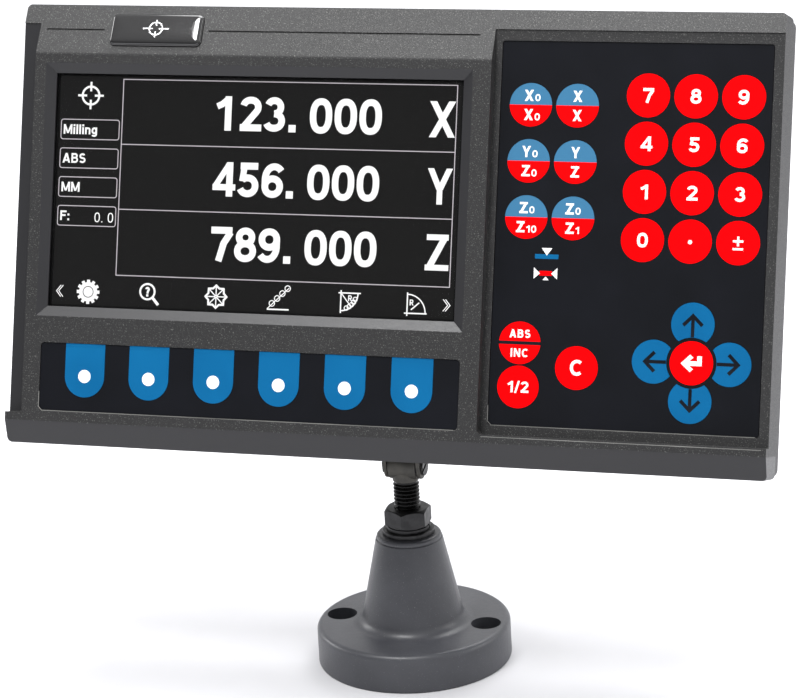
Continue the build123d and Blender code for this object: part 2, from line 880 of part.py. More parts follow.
rocker_reach = 4.6
rocker_tilt = 12.0
rocker_frame = Plane(
    origin=datum - out * rocker_depth + right * rocker_x + up * inlet_y,
    x_dir=-out,
    z_dir=right,
)
rocker_corners = [
    (-3.2, -5.0),
    (rocker_reach - 0.4, -8.6),
    (rocker_reach + 0.2, -8.6),
    (rocker_reach - 0.8, 0),
    (rocker_reach + 0.2, 8.6),
    (rocker_reach - 0.4, 8.6),
    (-3.2, 5.0),
]
tilt_sin = math.sin(math.radians(rocker_tilt))
tilt_cos = math.cos(math.radians(rocker_tilt))
tilted = [(x * tilt_cos - y * tilt_sin, x * tilt_sin + y * tilt_cos) for x, y in rocker_corners]
with BuildPart() as power_rocker:
    with BuildSketch(rocker_frame.offset(-6.0)):
        Polygon(*tilted, align=None)
    extrude(amount=12.0)
    with BuildSketch(rocker_frame.offset(-7.1)):
        Circle(1.2)
    extrude(amount=14.2)
save(power_rocker.part, "power_rocker")

with BuildPart() as encoder_sockets:
    for number in range(3):
        x = socket_x + number * socket_pitch
        with BuildSketch(front(panel_depth + 1.0)):
            with Locations((x, socket_y)):
                RectangleRounded(31.0, 12.6, 1.0)
        extrude(amount=1.0)
        with BuildSketch(front(panel_depth + 6.0)):
            with Locations((x, socket_y)):
                Trapezoid(16.6, 8.2, 80)
        extrude(amount=5.0)
        with BuildSketch(front(panel_depth)):
            with Locations((x, socket_y)):
                Rectangle(18.4, 9.9)
        extrude(amount=9.0)
        with BuildSketch(front(panel_depth + 5.6)):
            with Locations((x - 12.5, socket_y), (x + 12.5, socket_y)):
                RegularPolygon(2.6, 6)
        extrude(amount=5.6)
        with BuildSketch(front(panel_depth)):
            with Locations((x - 12.5, socket_y), (x + 12.5, socket_y)):
                Circle(1.5)
        extrude(amount=5.0)
save(encoder_sockets.part, "encoder_sockets")

# ribbons from the main board up to the screen and the key board
lcd_back = lcd_front + lcd_thick
keypad_back = inner_deck + board_thick
with BuildPart() as ribbon_cables:
    with BuildSketch(side(-64.0)):
        Polygon(
            (lcd_back, 64.0),
            (lcd_back + 6.0, 60.0),
            (main_depth, 64.0),
            (main_depth, 68.0),
            (lcd_back + 5.8, 60.9),
            (lcd_back, 68.0),
            align=None,
        )
    extrude(amount=30.0)
    with BuildSketch(front(main_depth)):
        with Locations((49.0, 84.0)):
            Rectangle(10.0, 20.0)
    extrude(amount=main_depth - keypad_back)
save(ribbon_cables.part, "ribbon_cables")
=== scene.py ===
"""Looks of a three-axis readout console on its stem and round cast foot.

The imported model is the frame. This script gives every CAD piece a procedural
material, prints the legends on the keys and the picture on the screen, and adds
the small trims that are too fine for the solid model.
"""
import json
import logging
import math
from dataclasses import dataclass, field
from enum import Enum
from typing import ClassVar, Dict, Iterable, List, Optional, Sequence, Tuple

import bmesh
import bpy
from mathutils import Matrix, Vector


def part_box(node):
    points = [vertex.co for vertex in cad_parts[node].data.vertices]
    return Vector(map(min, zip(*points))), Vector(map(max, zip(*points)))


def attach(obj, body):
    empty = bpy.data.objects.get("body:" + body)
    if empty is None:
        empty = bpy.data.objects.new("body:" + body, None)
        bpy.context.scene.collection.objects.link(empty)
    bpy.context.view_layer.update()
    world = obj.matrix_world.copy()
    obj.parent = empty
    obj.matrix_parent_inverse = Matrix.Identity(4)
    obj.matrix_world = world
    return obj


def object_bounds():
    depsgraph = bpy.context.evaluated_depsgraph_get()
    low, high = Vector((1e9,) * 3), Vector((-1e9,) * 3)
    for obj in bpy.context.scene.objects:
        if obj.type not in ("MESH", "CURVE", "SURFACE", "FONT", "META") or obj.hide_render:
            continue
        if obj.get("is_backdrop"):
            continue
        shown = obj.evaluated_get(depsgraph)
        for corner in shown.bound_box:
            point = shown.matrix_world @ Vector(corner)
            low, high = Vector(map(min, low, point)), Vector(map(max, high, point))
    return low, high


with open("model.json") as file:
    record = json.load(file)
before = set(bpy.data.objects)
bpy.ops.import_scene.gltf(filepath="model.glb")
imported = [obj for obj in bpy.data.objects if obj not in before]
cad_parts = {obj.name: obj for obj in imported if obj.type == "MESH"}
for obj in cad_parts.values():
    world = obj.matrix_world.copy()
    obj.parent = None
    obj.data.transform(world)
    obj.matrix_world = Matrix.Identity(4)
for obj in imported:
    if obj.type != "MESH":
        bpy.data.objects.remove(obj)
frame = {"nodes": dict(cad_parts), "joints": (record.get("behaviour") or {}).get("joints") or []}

LOG = logging.getLogger("console")
MM = 0.001
INK_LIFT = 0.005  # how far print stands off its face, in millimetres
KEY_SUNK = 0.2  # depth of a key's face behind the block that holds it, in millimetres
FILM_SUNK = 0.3  # depth of the film round the keys, in millimetres
WELD = 0.00001  # points closer than this are one point, in metres
SHARP = math.radians(32)  # edges that turn by more than this are rounded
FLAT = 0.02 * MM  # how far apart points of one flat face may lie
Colour = Tuple[float, float, float]
Point = Tuple[float, float]
Socket = bpy.types.NodeSocket


def srgb(red: float, green: float, blue: float) -> Colour:
    """Turn a display colour into a linear one.

    Args:
        red: Red, 0 to 255.
        green: Green, 0 to 255.
        blue: Blue, 0 to 255.

    Returns:
        The linear colour, 0 to 1 each.
    """
    linear = []
    for value in (red, green, blue):
        part = value / 255.0
        linear.append(part / 12.92 if part <= 0.04045 else ((part + 0.055) / 1.055) ** 2.4)
    return (linear[0], linear[1], linear[2])


# ---------------------------------------------------------------- panel frame
@dataclass(frozen=True)
class PanelFrame:
    """Coordinates on the leaning console, in millimetres.

    x runs to the right, y up the panel from its bottom edge, and depth into it
    from the front of the screen block.
    """

    pivot: Vector
    lean: float = math.radians(19.0)
    below: float = 2.1
    behind: float = 44.7

    @property
    def out(self) -> Vector:
        """Direction out of the panel."""
        return Vector((0, -math.cos(self.lean), math.sin(self.lean)))

    @property
    def up(self) -> Vector:
        """Direction up the panel."""
        return Vector((0, math.sin(self.lean), math.cos(self.lean)))

    def point(self, x: float, y: float, depth: float) -> Vector:
        """Place of a panel point in the row frame.

        Args:
            x: To the right.
            y: Up the panel.
            depth: Into the panel.

        Returns:
            The point in metres.
        """
        local = self.up * (y + self.below) + self.out * (self.behind - depth)
        return self.pivot + (Vector((x, 0, 0)) + local) * MM

    def matrix(self, x: float, y: float, depth: float, behind: bool = False) -> Matrix:
        """Frame on the panel: x is right, y up the panel and z out of it.

        Args:
            x: To the right, seen from the front.
            y: Up the panel.
            depth: Into the panel.
            behind: True for print read from the back, with x left and z backwards.

        Returns:
            The 4 by 4 matrix of that frame.
        """
        side = -1 if behind else 1
        turned = Matrix((Vector((side, 0, 0)), self.up, self.out * side)).transposed().to_4x4()
        return Matrix.Translation(self.point(x, y, depth)) @ turned

    def span(self, node: str) -> Tuple[float, float, float, float]:
        """Reach of a CAD node across and up the panel.

        Args:
            node: The node's name.

        Returns:
            Its left, right, lowest and highest places in millimetres.
        """
        corners = [vertex.co - self.pivot for vertex in frame["nodes"][node].data.vertices]
        across = [corner.x / MM for corner in corners]
        level = [corner.dot(self.up) / MM - self.below for corner in corners]
        return min(across), max(across), min(level), max(level)

    def front_of(self, node: str) -> float:
        """Depth of the foremost point of a CAD node.

        Args:
            node: The node's name.

        Returns:
            Its depth behind the front of the screen block, in millimetres.
        """
        spots = [vertex.co - self.pivot for vertex in frame["nodes"][node].data.vertices]
        reach = max(spot.dot(self.out) for spot in spots)
        return self.behind - reach / MM


def place_object(name: str, data: bpy.types.ID) -> bpy.types.Object:
    """Put new data in the scene as an object.

    Args:
        name: The object's name.
        data: Its mesh, light or camera.

    Returns:
        The object.
    """
    made = bpy.data.objects.new(name, data)
    bpy.context.scene.collection.objects.link(made)
    return made


def broad_face(node: str) -> Tuple[Vector, Vector]:
    """Find the largest flat face of a CAD node, seen from in front.

    Args:
        node: The node's name.

    Returns:
        The middle of the face and its normal.
    """
    data = frame["nodes"][node].data
    best = max((face for face in data.polygons if face.normal.y < -0.3), key=lambda face: face.area)
    normal = best.normal.copy()
    spots = [vertex.co for vertex in data.vertices if abs((vertex.co - best.center).dot(normal)) < FLAT]
    low = Vector([min(spot[axis] for spot in spots) for axis in range(3)])
    high = Vector([max(spot[axis] for spot in spots) for axis in range(3)])
    return (low + high) / 2, normal


def joint_place(name: str) -> Vector:
    """Find a joint's place.

    Args:
        name: The joint's name in the record.

    Returns:
        The place in metres.
    """
    for joint in frame["joints"]:
        if joint["name"] == name:
            return Vector(joint["pos_m"])
    raise KeyError(name)


# ---------------------------------------------------------------- materials
class Shader:
    """A material under construction, with short calls for its nodes."""

    def __init__(self, name: str) -> None:
        """Start a material.

        Args:
            name: The material's name.
        """
        self.material = bpy.data.materials.new(name)
        self.material.use_nodes = True
        self.tree = self.material.node_tree
        self.surface = self.tree.nodes["Principled BSDF"]
        self.place = self.node("ShaderNodeTexCoord").outputs["Object"]

    def node(self, kind: str, **values: object) -> bpy.types.Node:
        """Add a node and set its properties.

        Args:
            kind: The node's type name.
            **values: Properties of the node.

        Returns:
            The new node.
        """
        made = self.tree.nodes.new(kind)
        for key, value in values.items():
            setattr(made, key, value)
        return made

    def wire(self, source: Socket, target: Socket) -> None:
        """Join two sockets.

        Args:
            source: The output.
            target: The input.
        """
        self.tree.links.new(source, target)

    def noise(self, size_mm: float, detail: float = 2.0, stretch: Optional[Vector] = None) -> Socket:
        """Add a noise texture.

        Args:
            size_mm: Size of its features.
            detail: Layers of finer noise.
            stretch: Scale along each axis before the noise.

        Returns:
            The noise value's socket.
        """
        texture = self.node("ShaderNodeTexNoise")
        texture.inputs["Scale"].default_value = 1.0 / (size_mm * MM)
        texture.inputs["Detail"].default_value = detail
        place = self.place
        if stretch is not None:
            mapping = self.node("ShaderNodeMapping")
            mapping.inputs["Scale"].default_value = stretch
            self.wire(place, mapping.inputs["Vector"])
            place = mapping.outputs["Vector"]
        self.wire(place, texture.inputs["Vector"])
        return texture.outputs["Fac"]

    def ramp(self, source: Socket, low: float, high: float, start: float = 0.0, stop: float = 1.0) -> Socket:
        """Map a value from one range to another, clamped.

        Args:
            source: The value.
            low: Start of the range it is read in.
            high: End of that range.
            start: Result at low.
            stop: Result at high.

        Returns:
            The mapped value's socket.
        """
        mapped = self.node("ShaderNodeMapRange")
        for key, value in (("From Min", low), ("From Max", high), ("To Min", start), ("To Max", stop)):
            mapped.inputs[key].default_value = value
        self.wire(source, mapped.inputs["Value"])
        return mapped.outputs["Result"]

    def step(self, source: Socket, at: float, edge_mm: float, rising: bool = True) -> Socket:
        """Step between 0 and 1 at a place, over a narrow edge.

        Args:
            source: The value.
            at: Where it steps, in metres.
            edge_mm: Half the width of the edge.
            rising: True for 1 above the place, false for 1 below it.

        Returns:
            The stepped value's socket.
        """
        ends = (0.0, 1.0) if rising else (1.0, 0.0)
        return self.ramp(source, at - edge_mm * MM, at + edge_mm * MM, *ends)

    def plug(self, value: object, socket: Socket) -> None:
        """Feed a socket from another one, or set it to a constant.

        Args:
            value: A socket, a number or a colour.
            socket: The input.
        """
        if isinstance(value, Socket):
            self.wire(value, socket)
        elif isinstance(value, tuple):
            socket.default_value = (*value, 1.0)
        else:
            socket.default_value = value

    def away(self, source: Socket, middle: float) -> Socket:
        """Distance of a value from a middle.

        Args:
            source: The value.
            middle: The middle.

        Returns:
            The distance's socket.
        """
        return self.math("ABSOLUTE", self.math("SUBTRACT", source, middle), 0.0)

    def mix(self, factor: Socket, first: object, second: object) -> Socket:
        """Mix two colours.

        Args:
            factor: Share of the second colour.
            first: A colour, or a colour's socket.
            second: A colour, or a colour's socket.

        Returns:
            The mixed colour's socket.
        """
        mixer = self.node("ShaderNodeMix", data_type="RGBA")
        self.wire(factor, mixer.inputs[0])
        self.plug(first, mixer.inputs[6])
        self.plug(second, mixer.inputs[7])
        return mixer.outputs[2]

    def math(self, operation: str, first: object, second: object) -> Socket:
        """Combine two values.

        Args:
            operation: The node's operation name.
            first: A number or a socket.
            second: A number or a socket.

        Returns:
            The result's socket.
        """
        made = self.node("ShaderNodeMath", operation=operation)
        for socket, value in zip(made.inputs, (first, second)):
            self.plug(value, socket)
        return made.outputs[0]

    def along(self, direction: Vector) -> Socket:
        """Distance along a direction, in metres.

        Args:
            direction: A unit vector.

        Returns:
            The distance's socket.
        """
        dot = self.node("ShaderNodeVectorMath", operation="DOT_PRODUCT")
        self.wire(self.place, dot.inputs[0])
        dot.inputs[1].default_value = direction
        return dot.outputs["Value"]

    def bump(self, height: Socket, depth_mm: float, strength: float = 1.0) -> None:
        """Add a bump to the surface, after any that is already there.

        Args:
            height: The height, 0 to 1.
            depth_mm: What 1 stands for.
            strength: Share of the bump that shows.
        """
        made = self.node("ShaderNodeBump")
        made.inputs["Strength"].default_value = strength
        made.inputs["Distance"].default_value = depth_mm * MM
        self.wire(height, made.inputs["Height"])
        normal = self.surface.inputs["Normal"]
        if normal.links:
            self.wire(normal.links[0].from_socket, made.inputs["Normal"])
        self.wire(made.outputs["Normal"], normal)

    def set(self, **values: object) -> None:
        """Set constants on the surface shader.

        Args:
            **values: Socket names with underscores for spaces.
        """
        for key, value in values.items():
            self.surface.inputs[key.replace("_", " ")].default_value = value

    def colour(self, source: Socket) -> None:
        """Drive the base colour.

        Args:
            source: The colour's socket.
        """
        self.wire(source, self.surface.inputs["Base Color"])

    def roughness(self, source: Socket) -> None:
        """Drive the roughness.

        Args:
            source: The value's socket.
        """
        self.wire(source, self.surface.inputs["Roughness"])


@dataclass(frozen=True)
class Finish:
    """A kind of surface; each subclass wires its own nodes."""

    name: str

    def build(self) -> bpy.types.Material:
        """Make the material.

        Returns:
            The material.
        """
        shader = Shader(self.name)
        self.apply(shader)
        return shader.material

    def apply(self, shader: Shader) -> None:
        """Wire the surface.

        Args:
            shader: The material being made.
        """
        raise NotImplementedError


@dataclass(frozen=True)
class Window:
    """Smooth border round the screen, and the narrow smooth strip at the panel's side."""

    middle: Vector
    half: Tuple[float, float]
    side: float
    reach: Tuple[float, float]


@dataclass(frozen=True)
class Moulded(Finish):
    """Grained moulded plastic with fine bright specks, smooth below a level and in a window."""

    dark: Colour
    light: Colour
    speck: Colour
    grain_mm: float = 0.45
    depth_mm: float = 0.08
    roughness: float = 0.55
    specks: float = 0.68
    smooth: Optional[Colour] = None
    smooth_up: Optional[Vector] = None
    smooth_to: float = 0.0
    window: Optional[Window] = None

    def apply(self, shader: Shader) -> None:
        """Wire the surface.

        Args:
            shader: The material being made.
        """
        grain = shader.noise(self.grain_mm, 3.0)
        cloud = shader.noise(28.0)
        base = shader.mix(shader.ramp(grain, 0.32, 0.68), self.dark, self.light)
        base = shader.mix(shader.ramp(cloud, 0.3, 0.7, 0.0, 0.25), base, self.light)
        spark = shader.noise(self.grain_mm * 0.8, 0.0)
        base = shader.mix(shader.ramp(spark, self.specks, self.specks + 0.07, 0.0, 0.85), base, self.speck)
        height = grain
        finish = shader.ramp(grain, 0.3, 0.7, self.roughness + 0.08, self.roughness - 0.08)
        if self.smooth is not None:
            level = shader.along(self.smooth_up)
            rough = shader.step(level, self.smooth_to, 0.2)
            if self.window is not None:
                rough = shader.math("MINIMUM", rough, self.outside(shader, level))
            base = shader.mix(rough, self.smooth, base)
            height = shader.math("MULTIPLY", grain, shader.ramp(rough, 0.0, 1.0, 0.15, 1.0))
            finish = shader.math("SUBTRACT", finish, shader.ramp(rough, 0.0, 1.0, 0.14, 0.0))
        shader.colour(base)
        shader.roughness(finish)
        shader.bump(height, self.depth_mm, 0.7)
        shader.set(IOR=1.5)

    def outside(self, shader: Shader, level: Socket) -> Socket:
        """Mask that is 0 on the smooth window and strip, and 1 elsewhere.

        Args:
            shader: The material being made.
            level: Distance up the panel.

        Returns:
            The mask's socket.
        """
        edge = 0.1
        window = self.window
        across = shader.along(Vector((1, 0, 0)))
        low, high = window.reach
        above, below = shader.step(level, low, edge), shader.step(level, high, edge, False)
        between = shader.math("MINIMUM", above, below)
        beside = shader.step(across, window.side, edge, False)
        strip = shader.math("SUBTRACT", 1.0, shader.math("MINIMUM", between, beside))
        wide = shader.step(shader.away(across, window.middle.x), window.half[0], edge)
        tall = shader.step(shader.away(level, window.middle.dot(self.smooth_up)), window.half[1], edge)
        return shader.math("MINIMUM", strip, shader.math("MAXIMUM", wide, tall))


@dataclass(frozen=True)
class Painted(Finish):
    """Sprayed paint over a casting: low ripple, fine dust and soft wear."""

    base: Colour
    light: Colour
    roughness: float = 0.42
    ripple_mm: float = 2.2
    depth_mm: float = 0.12

    def apply(self, shader: Shader) -> None:
        """Wire the surface.

        Args:
            shader: The material being made.
        """
        ripple = shader.noise(self.ripple_mm)
        fine = shader.noise(0.35, 1.0)
        cloud = shader.noise(16.0)
        base = shader.mix(shader.ramp(cloud, 0.35, 0.65), self.base, self.light)
        base = shader.mix(shader.ramp(fine, 0.70, 0.78, 0.0, 0.5), base, srgb(150, 150, 150))
        shader.colour(base)
        shader.roughness(shader.ramp(fine, 0.3, 0.7, self.roughness - 0.05, self.roughness + 0.08))
        shader.bump(ripple, self.depth_mm, 0.5)
        shader.bump(fine, 0.02, 0.5)


@dataclass(frozen=True)
class Metal(Finish):
    """Machined or plated metal with turning lines and stains."""

    base: Colour
    light: Colour
    metallic: float = 0.9
    roughness: float = 0.38
    turned: bool = True

    def apply(self, shader: Shader) -> None:
        """Wire the surface.

        Args:
            shader: The material being made.
        """
        stretch = Vector((0.15, 0.15, 3.0)) if self.turned else Vector((1.0, 1.0, 1.0))
        lines = shader.noise(0.5, 3.0, stretch)
        stain = shader.noise(3.5, 3.0)
        shader.colour(shader.mix(shader.ramp(stain, 0.38, 0.66), self.base, self.light))
        shader.roughness(shader.ramp(stain, 0.3, 0.7, self.roughness - 0.08, self.roughness + 0.14))
        shader.bump(lines, 0.025, 0.6)
        shader.set(Metallic=self.metallic)


@dataclass(frozen=True)
class Film(Finish):
    """Printed polyester film with a fine emboss."""

    base: Colour
    light: Colour
    roughness: float = 0.42
    specular: float = 0.12

    def apply(self, shader: Shader) -> None:
        """Wire the surface.

        Args:
            shader: The material being made.
        """
        fine = shader.noise(0.30, 1.0)
        cloud = shader.noise(22.0)
        shader.colour(shader.mix(shader.ramp(cloud, 0.3, 0.7), self.base, self.light))
        shader.roughness(shader.ramp(fine, 0.3, 0.7, self.roughness - 0.06, self.roughness + 0.08))
        shader.bump(fine, 0.012, 0.6)
        shader.set(Specular_IOR_Level=self.specular)


@dataclass(frozen=True)
class SplitFilm(Finish):
    """Key film printed in two colours, with a straight line between them."""

    upper: Colour
    lower: Colour
    up: Vector
    line: float
    gap: Optional[Colour] = None
    gap_mm: float = 0.0

    def apply(self, shader: Shader) -> None:
        """Wire the surface.

        Args:
            shader: The material being made.
        """
        edge = 0.06
        height = shader.along(self.up)
        base = shader.mix(shader.step(height, self.line, edge), self.lower, self.upper)
        if self.gap is not None:
            away = shader.away(height, self.line)
            base = shader.mix(shader.step(away, self.gap_mm * MM / 2, edge, False), base, self.gap)
        shader.colour(base)
        fine = shader.noise(0.30, 1.0)
        shader.roughness(shader.ramp(fine, 0.3, 0.7, 0.42, 0.56))
        shader.bump(fine, 0.012, 0.6)
        shader.set(Specular_IOR_Level=0.05)


@dataclass(frozen=True)
class Glow(Finish):
    """Lit part of the display, with a faint unevenness."""

    light: Colour
    strength: float

    def apply(self, shader: Shader) -> None:
        """Wire the surface.

        Args:
            shader: The material being made.
        """
        shader.set(Base_Color=(*[part * 0.2 for part in self.light], 1.0))
        shader.set(Emission_Color=(*self.light, 1.0))
        lit = shader.ramp(shader.noise(0.25, 0.0), 0.2, 0.8, self.strength * 0.97, self.strength * 1.03)
        shader.wire(lit, shader.surface.inputs["Emission Strength"])
        shader.set(Roughness=0.5, Specular_IOR_Level=0.0)


@dataclass(frozen=True)
class Glass(Finish):
    """Thin clear window with an anti-glare face."""

    clear: float = 0.95

    def apply(self, shader: Shader) -> None:
        """Wire the surface.

        Args:
            shader: The material being made.
        """
        shader.set(Base_Color=(0.02, 0.02, 0.02, 1.0), Specular_IOR_Level=0.06)
        shader.roughness(shader.ramp(shader.noise(0.4, 1.0), 0.3, 0.7, 0.18, 0.26))
        see = shader.node("ShaderNodeBsdfTransparent")
        blend = shader.node("ShaderNodeMixShader")
        blend.inputs["Fac"].default_value = self.clear
        shader.wire(shader.surface.outputs[0], blend.inputs[1])
        shader.wire(see.outputs[0], blend.inputs[2])
        output = shader.tree.nodes["Material Output"]
        shader.wire(blend.outputs[0], output.inputs["Surface"])


class Palette:
    """Every material of the console, made once each."""

    def __init__(self, panel: PanelFrame) -> None:
        """Make the materials.

        Args:
            panel: The console's frame.
        """
        up = panel.up
        lip_top, strip_low, strip_high = (panel.point(0, y, 0).dot(up) for y in (8.6, 12.0, 159.9))
        window = Window(panel.point(-51.3, 96.8, 0), (84.05 * MM, 48.1 * MM), -139.85 * MM,
                        (strip_low, strip_high))
        self.up = up
        self.red = srgb(246, 0, 4)
        self.blue = srgb(4, 92, 142)
        self.soft_blue = srgb(64, 118, 154)
        black = srgb(6, 8, 14)
        plastic = (srgb(22, 22, 23), srgb(36, 36, 37), srgb(96, 96, 94))
        chamfer = srgb(32, 32, 35)
        self.bezel = Moulded("bezel_plastic", *plastic, smooth=chamfer, smooth_up=up, smooth_to=lip_top,
                             window=window).build()
        shell = (srgb(27, 27, 28), srgb(41, 41, 42), srgb(82, 82, 81))
        self.cover = Moulded("cover_plastic", *shell).build()
        self.foot = Painted("foot_paint", srgb(60, 61, 66), srgb(67, 68, 73), 0.38).build()
        self.stud = Metal("stud_oxide", srgb(18, 18, 18), srgb(36, 36, 36), 0.75, 0.22).build()
        self.steel = Metal("black_steel", srgb(44, 44, 45), srgb(62, 62, 63), 0.75, 0.42).build()
        self.bracket = Metal("bracket_steel", srgb(66, 65, 62), srgb(86, 84, 80), 0.7, 0.5, False).build()
        self.nylon = Film("nylon", srgb(40, 40, 42), srgb(48, 48, 50), 0.5).build()
        self.badge = Film("badge_gloss", srgb(12, 12, 14), srgb(16, 16, 18), 0.07, 0.9).build()
        self.membrane = Film("membrane_film", black, srgb(12, 14, 21), 0.5, 0.16).build()
        self.key_red = Film("key_red", self.red, srgb(250, 0, 6), 0.5, 0.04).build()
        self.key_blue = Film("key_blue", self.blue, srgb(7, 99, 150), 0.5, 0.1).build()
        self.ink_white = Film("ink_white", srgb(250, 250, 250), srgb(244, 244, 244), 0.55, 0.05).build()
        self.ink_black = Film("ink_black", black, srgb(26, 30, 38), 0.5, 0.1).build()
        self.ink_grey = Film("ink_grey", srgb(190, 190, 188), srgb(204, 204, 200), 0.5, 0.3).build()
        self.screen = Glow("screen_dark", srgb(30, 30, 30), 0.9).build()
        self.screen_white = Glow("screen_white", (1.0, 1.0, 1.0), 0.95).build()
        self.screen_line = Glow("screen_line", srgb(205, 198, 205), 0.95).build()
        self.lcd_frame = Film("lcd_frame", srgb(8, 8, 9), srgb(12, 12, 13), 0.45).build()
        self.glass = Glass("screen_glass").build()
        self.board = Film("board", srgb(24, 92, 60), srgb(30, 104, 68), 0.4, 0.4).build()
        black_plastic = (srgb(34, 34, 35), srgb(44, 44, 45), srgb(70, 70, 70))
        self.socket = Moulded("socket_black", *black_plastic, 0.4, 0.04).build()
        tin, bright_tin = srgb(176, 174, 168), srgb(204, 202, 196)
        self.shell = Metal("socket_shell", tin, bright_tin, 1.0, 0.28, False).build()
        brass, bright_brass = srgb(196, 160, 84), srgb(222, 186, 108)
        self.brass = Metal("contact_brass", brass, bright_brass, 1.0, 0.25, False).build()
        self.ribbon = Film("ribbon", srgb(150, 150, 146), srgb(166, 166, 162), 0.5, 0.3).build()
        # painted highlight: light grey film laid along the lower pocket and lip edges, in place of the light
        # they catch
        self.rim_highlight_paint = Film("painted_edge_highlight", srgb(96, 96, 94), srgb(136, 136, 133), 0.35, 0.4).build()
        silver, bright_silver = srgb(196, 196, 198), srgb(222, 222, 224)
        self.silver = Metal("badge_silver", silver, bright_silver, 0.9, 0.25, False).build()

    def split_key(self, node: str, gap: bool) -> bpy.types.Material:
        """Make the two-colour print of one key.

        Args:
            node: The key's CAD node.
            gap: True for one colour with a dark line, false for blue over red.

        Returns:
            The material.
        """
        low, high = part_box(node)
        line = ((low + high) / 2).dot(self.up)
        upper = self.red if gap else self.soft_blue
        dark = srgb(26, 28, 34) if gap else None
        return SplitFilm(node + "_print", upper, self.red, self.up, line, dark, 1.25).build()


# ---------------------------------------------------------------- flat printing
class Canvas:
    """Flat figures drawn on one plane, gathered in one mesh."""

    LAYERS = 9
    LAYER_STEP = 0.0006  # in millimetres

    def __init__(self, name: str, place: Matrix, thick: float = 0.03) -> None:
        """Start an empty canvas.

        Args:
            name: Name of the object it becomes.
            place: Its frame: figures lie in x and y, in millimetres.
            thick: Thickness of the ink, in millimetres.
        """
        self.name = name
        self.place = place
        self.thick = thick
        self.layer = 0
        self.mesh = bmesh.new()

    def height(self) -> float:
        """Next of a few very close heights, so that crossing strokes never share a plane."""
        self.layer = (self.layer + 1) % self.LAYERS
        return self.layer * self.LAYER_STEP * MM

    def polygon(self, points: Sequence[Point]) -> None:
        """Add one filled outline.

        Args:
            points: Its corners in order.
        """
        level = self.height()
        self.face([self.mesh.verts.new((x * MM, y * MM, level)) for x, y in points])

    def face(self, corners: Sequence[bmesh.types.BMVert]) -> None:
        """Add one face that looks out of the plane.

        Args:
            corners: Its corners in order.
        """
        face = self.mesh.faces.new(corners)
        face.normal_update()
        if face.normal.z < 0:
            face.normal_flip()

    def bar(self, start: Point, finish: Point, width: float) -> None:
        """Add a straight bar.

        Args:
            start: One end.
            finish: The other end.
            width: Its width.
        """
        a, b = Vector(start), Vector(finish)
        side = (b - a).normalized().orthogonal() * width / 2
        self.polygon([tuple(a + side), tuple(b + side), tuple(b - side), tuple(a - side)])

    def disc(self, x: float, y: float, radius: float, steps: int = 48) -> None:
        """Add a filled disc.

        Args:
            x: Centre.
            y: Centre.
            radius: Radius.
            steps: Corners round it.
        """
        self.polygon(circle(x, y, radius, turn(steps)))

    def band(self, path: Sequence[Point], width: float, closed: bool = False) -> None:
        """Add a band of even width along a path, with mitred corners.

        Args:
            path: The points it follows.
            width: Its width.
            closed: True to join its ends.
        """
        count = len(path)
        level = self.height()
        inner, outer = [], []
        for number, here in enumerate(path):
            before = path[number - 1] if number or closed else None
            after = path[(number + 1) % count] if number < count - 1 or closed else None
            normal = mitre(before, here, after) * width / 2
            for row, side in ((inner, -1), (outer, 1)):
                place = ((here[0] + side * normal.x) * MM, (here[1] + side * normal.y) * MM, level)
                row.append(self.mesh.verts.new(place))
        for number in range(count if closed else count - 1):
            after = (number + 1) % count
            self.face((inner[number], inner[after], outer[after], outer[number]))

    def ring(self, x: float, y: float, radius: float, width: float) -> None:
        """Add a ring.

        Args:
            x: Centre.
            y: Centre.
            radius: Radius at the middle of its width.
            width: Its width.
        """
        self.band(circle(x, y, radius, turn(48)), width, True)

    def text(self, words: str, x: float, y: float, height: float, stroke: float = 0.19, wide: float = 1.0,
             align: str = "CENTER", gap: float = 0.10, pitch: float = 0.0) -> None:
        """Write a line of plain strokes-only letters.

        Args:
            words: The letters.
            x: Place of the line's middle, or of its left or right end.
            y: Height of the letters' middle.
            height: Height of a capital.
            stroke: Width of a stroke, as a share of the height.
            wide: Stretch along x.
            align: LEFT, CENTER or RIGHT.
            gap: Room between letters, as a share of the height.
            pitch: Even step from letter to letter in millimetres, or 0 for each one's own width.
        """
        steps = [pitch or (Glyphs.width(word) * wide + gap) * height for word in words]
        last = Glyphs.width(words[-1]) * wide * height
        length = sum(steps[:-1]) + last
        start = x - {"LEFT": 0.0, "CENTER": length / 2, "RIGHT": length}[align]
        for word, step in zip(words, steps):
            pen = Pen(self, start, y - height / 2, height * wide, height, stroke)
            Glyphs.draw(pen, word)
            start += step

    def finish(self, body: str, material: bpy.types.Material, slot: str) -> bpy.types.Object:
        """Give the ink its thickness and make it a piece.

        Args:
            body: The CAD body that it rides on.
            material: Its material.
            slot: The record's material slot; not used.

        Returns:
            The piece.
        """
        data = bpy.data.meshes.new(self.name)
        lifted = bmesh.ops.extrude_face_region(self.mesh, geom=self.mesh.faces[:])
        top = [part for part in lifted["geom"] if isinstance(part, bmesh.types.BMVert)]
        bmesh.ops.translate(self.mesh, vec=(0, 0, self.thick * MM), verts=top)
        bmesh.ops.recalc_face_normals(self.mesh, faces=self.mesh.faces[:])
        self.mesh.to_mesh(data)
        self.mesh.free()
        piece = place_object(self.name, data)
        piece.matrix_world = self.place
        data.materials.append(material)
        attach(piece, body)
        return piece


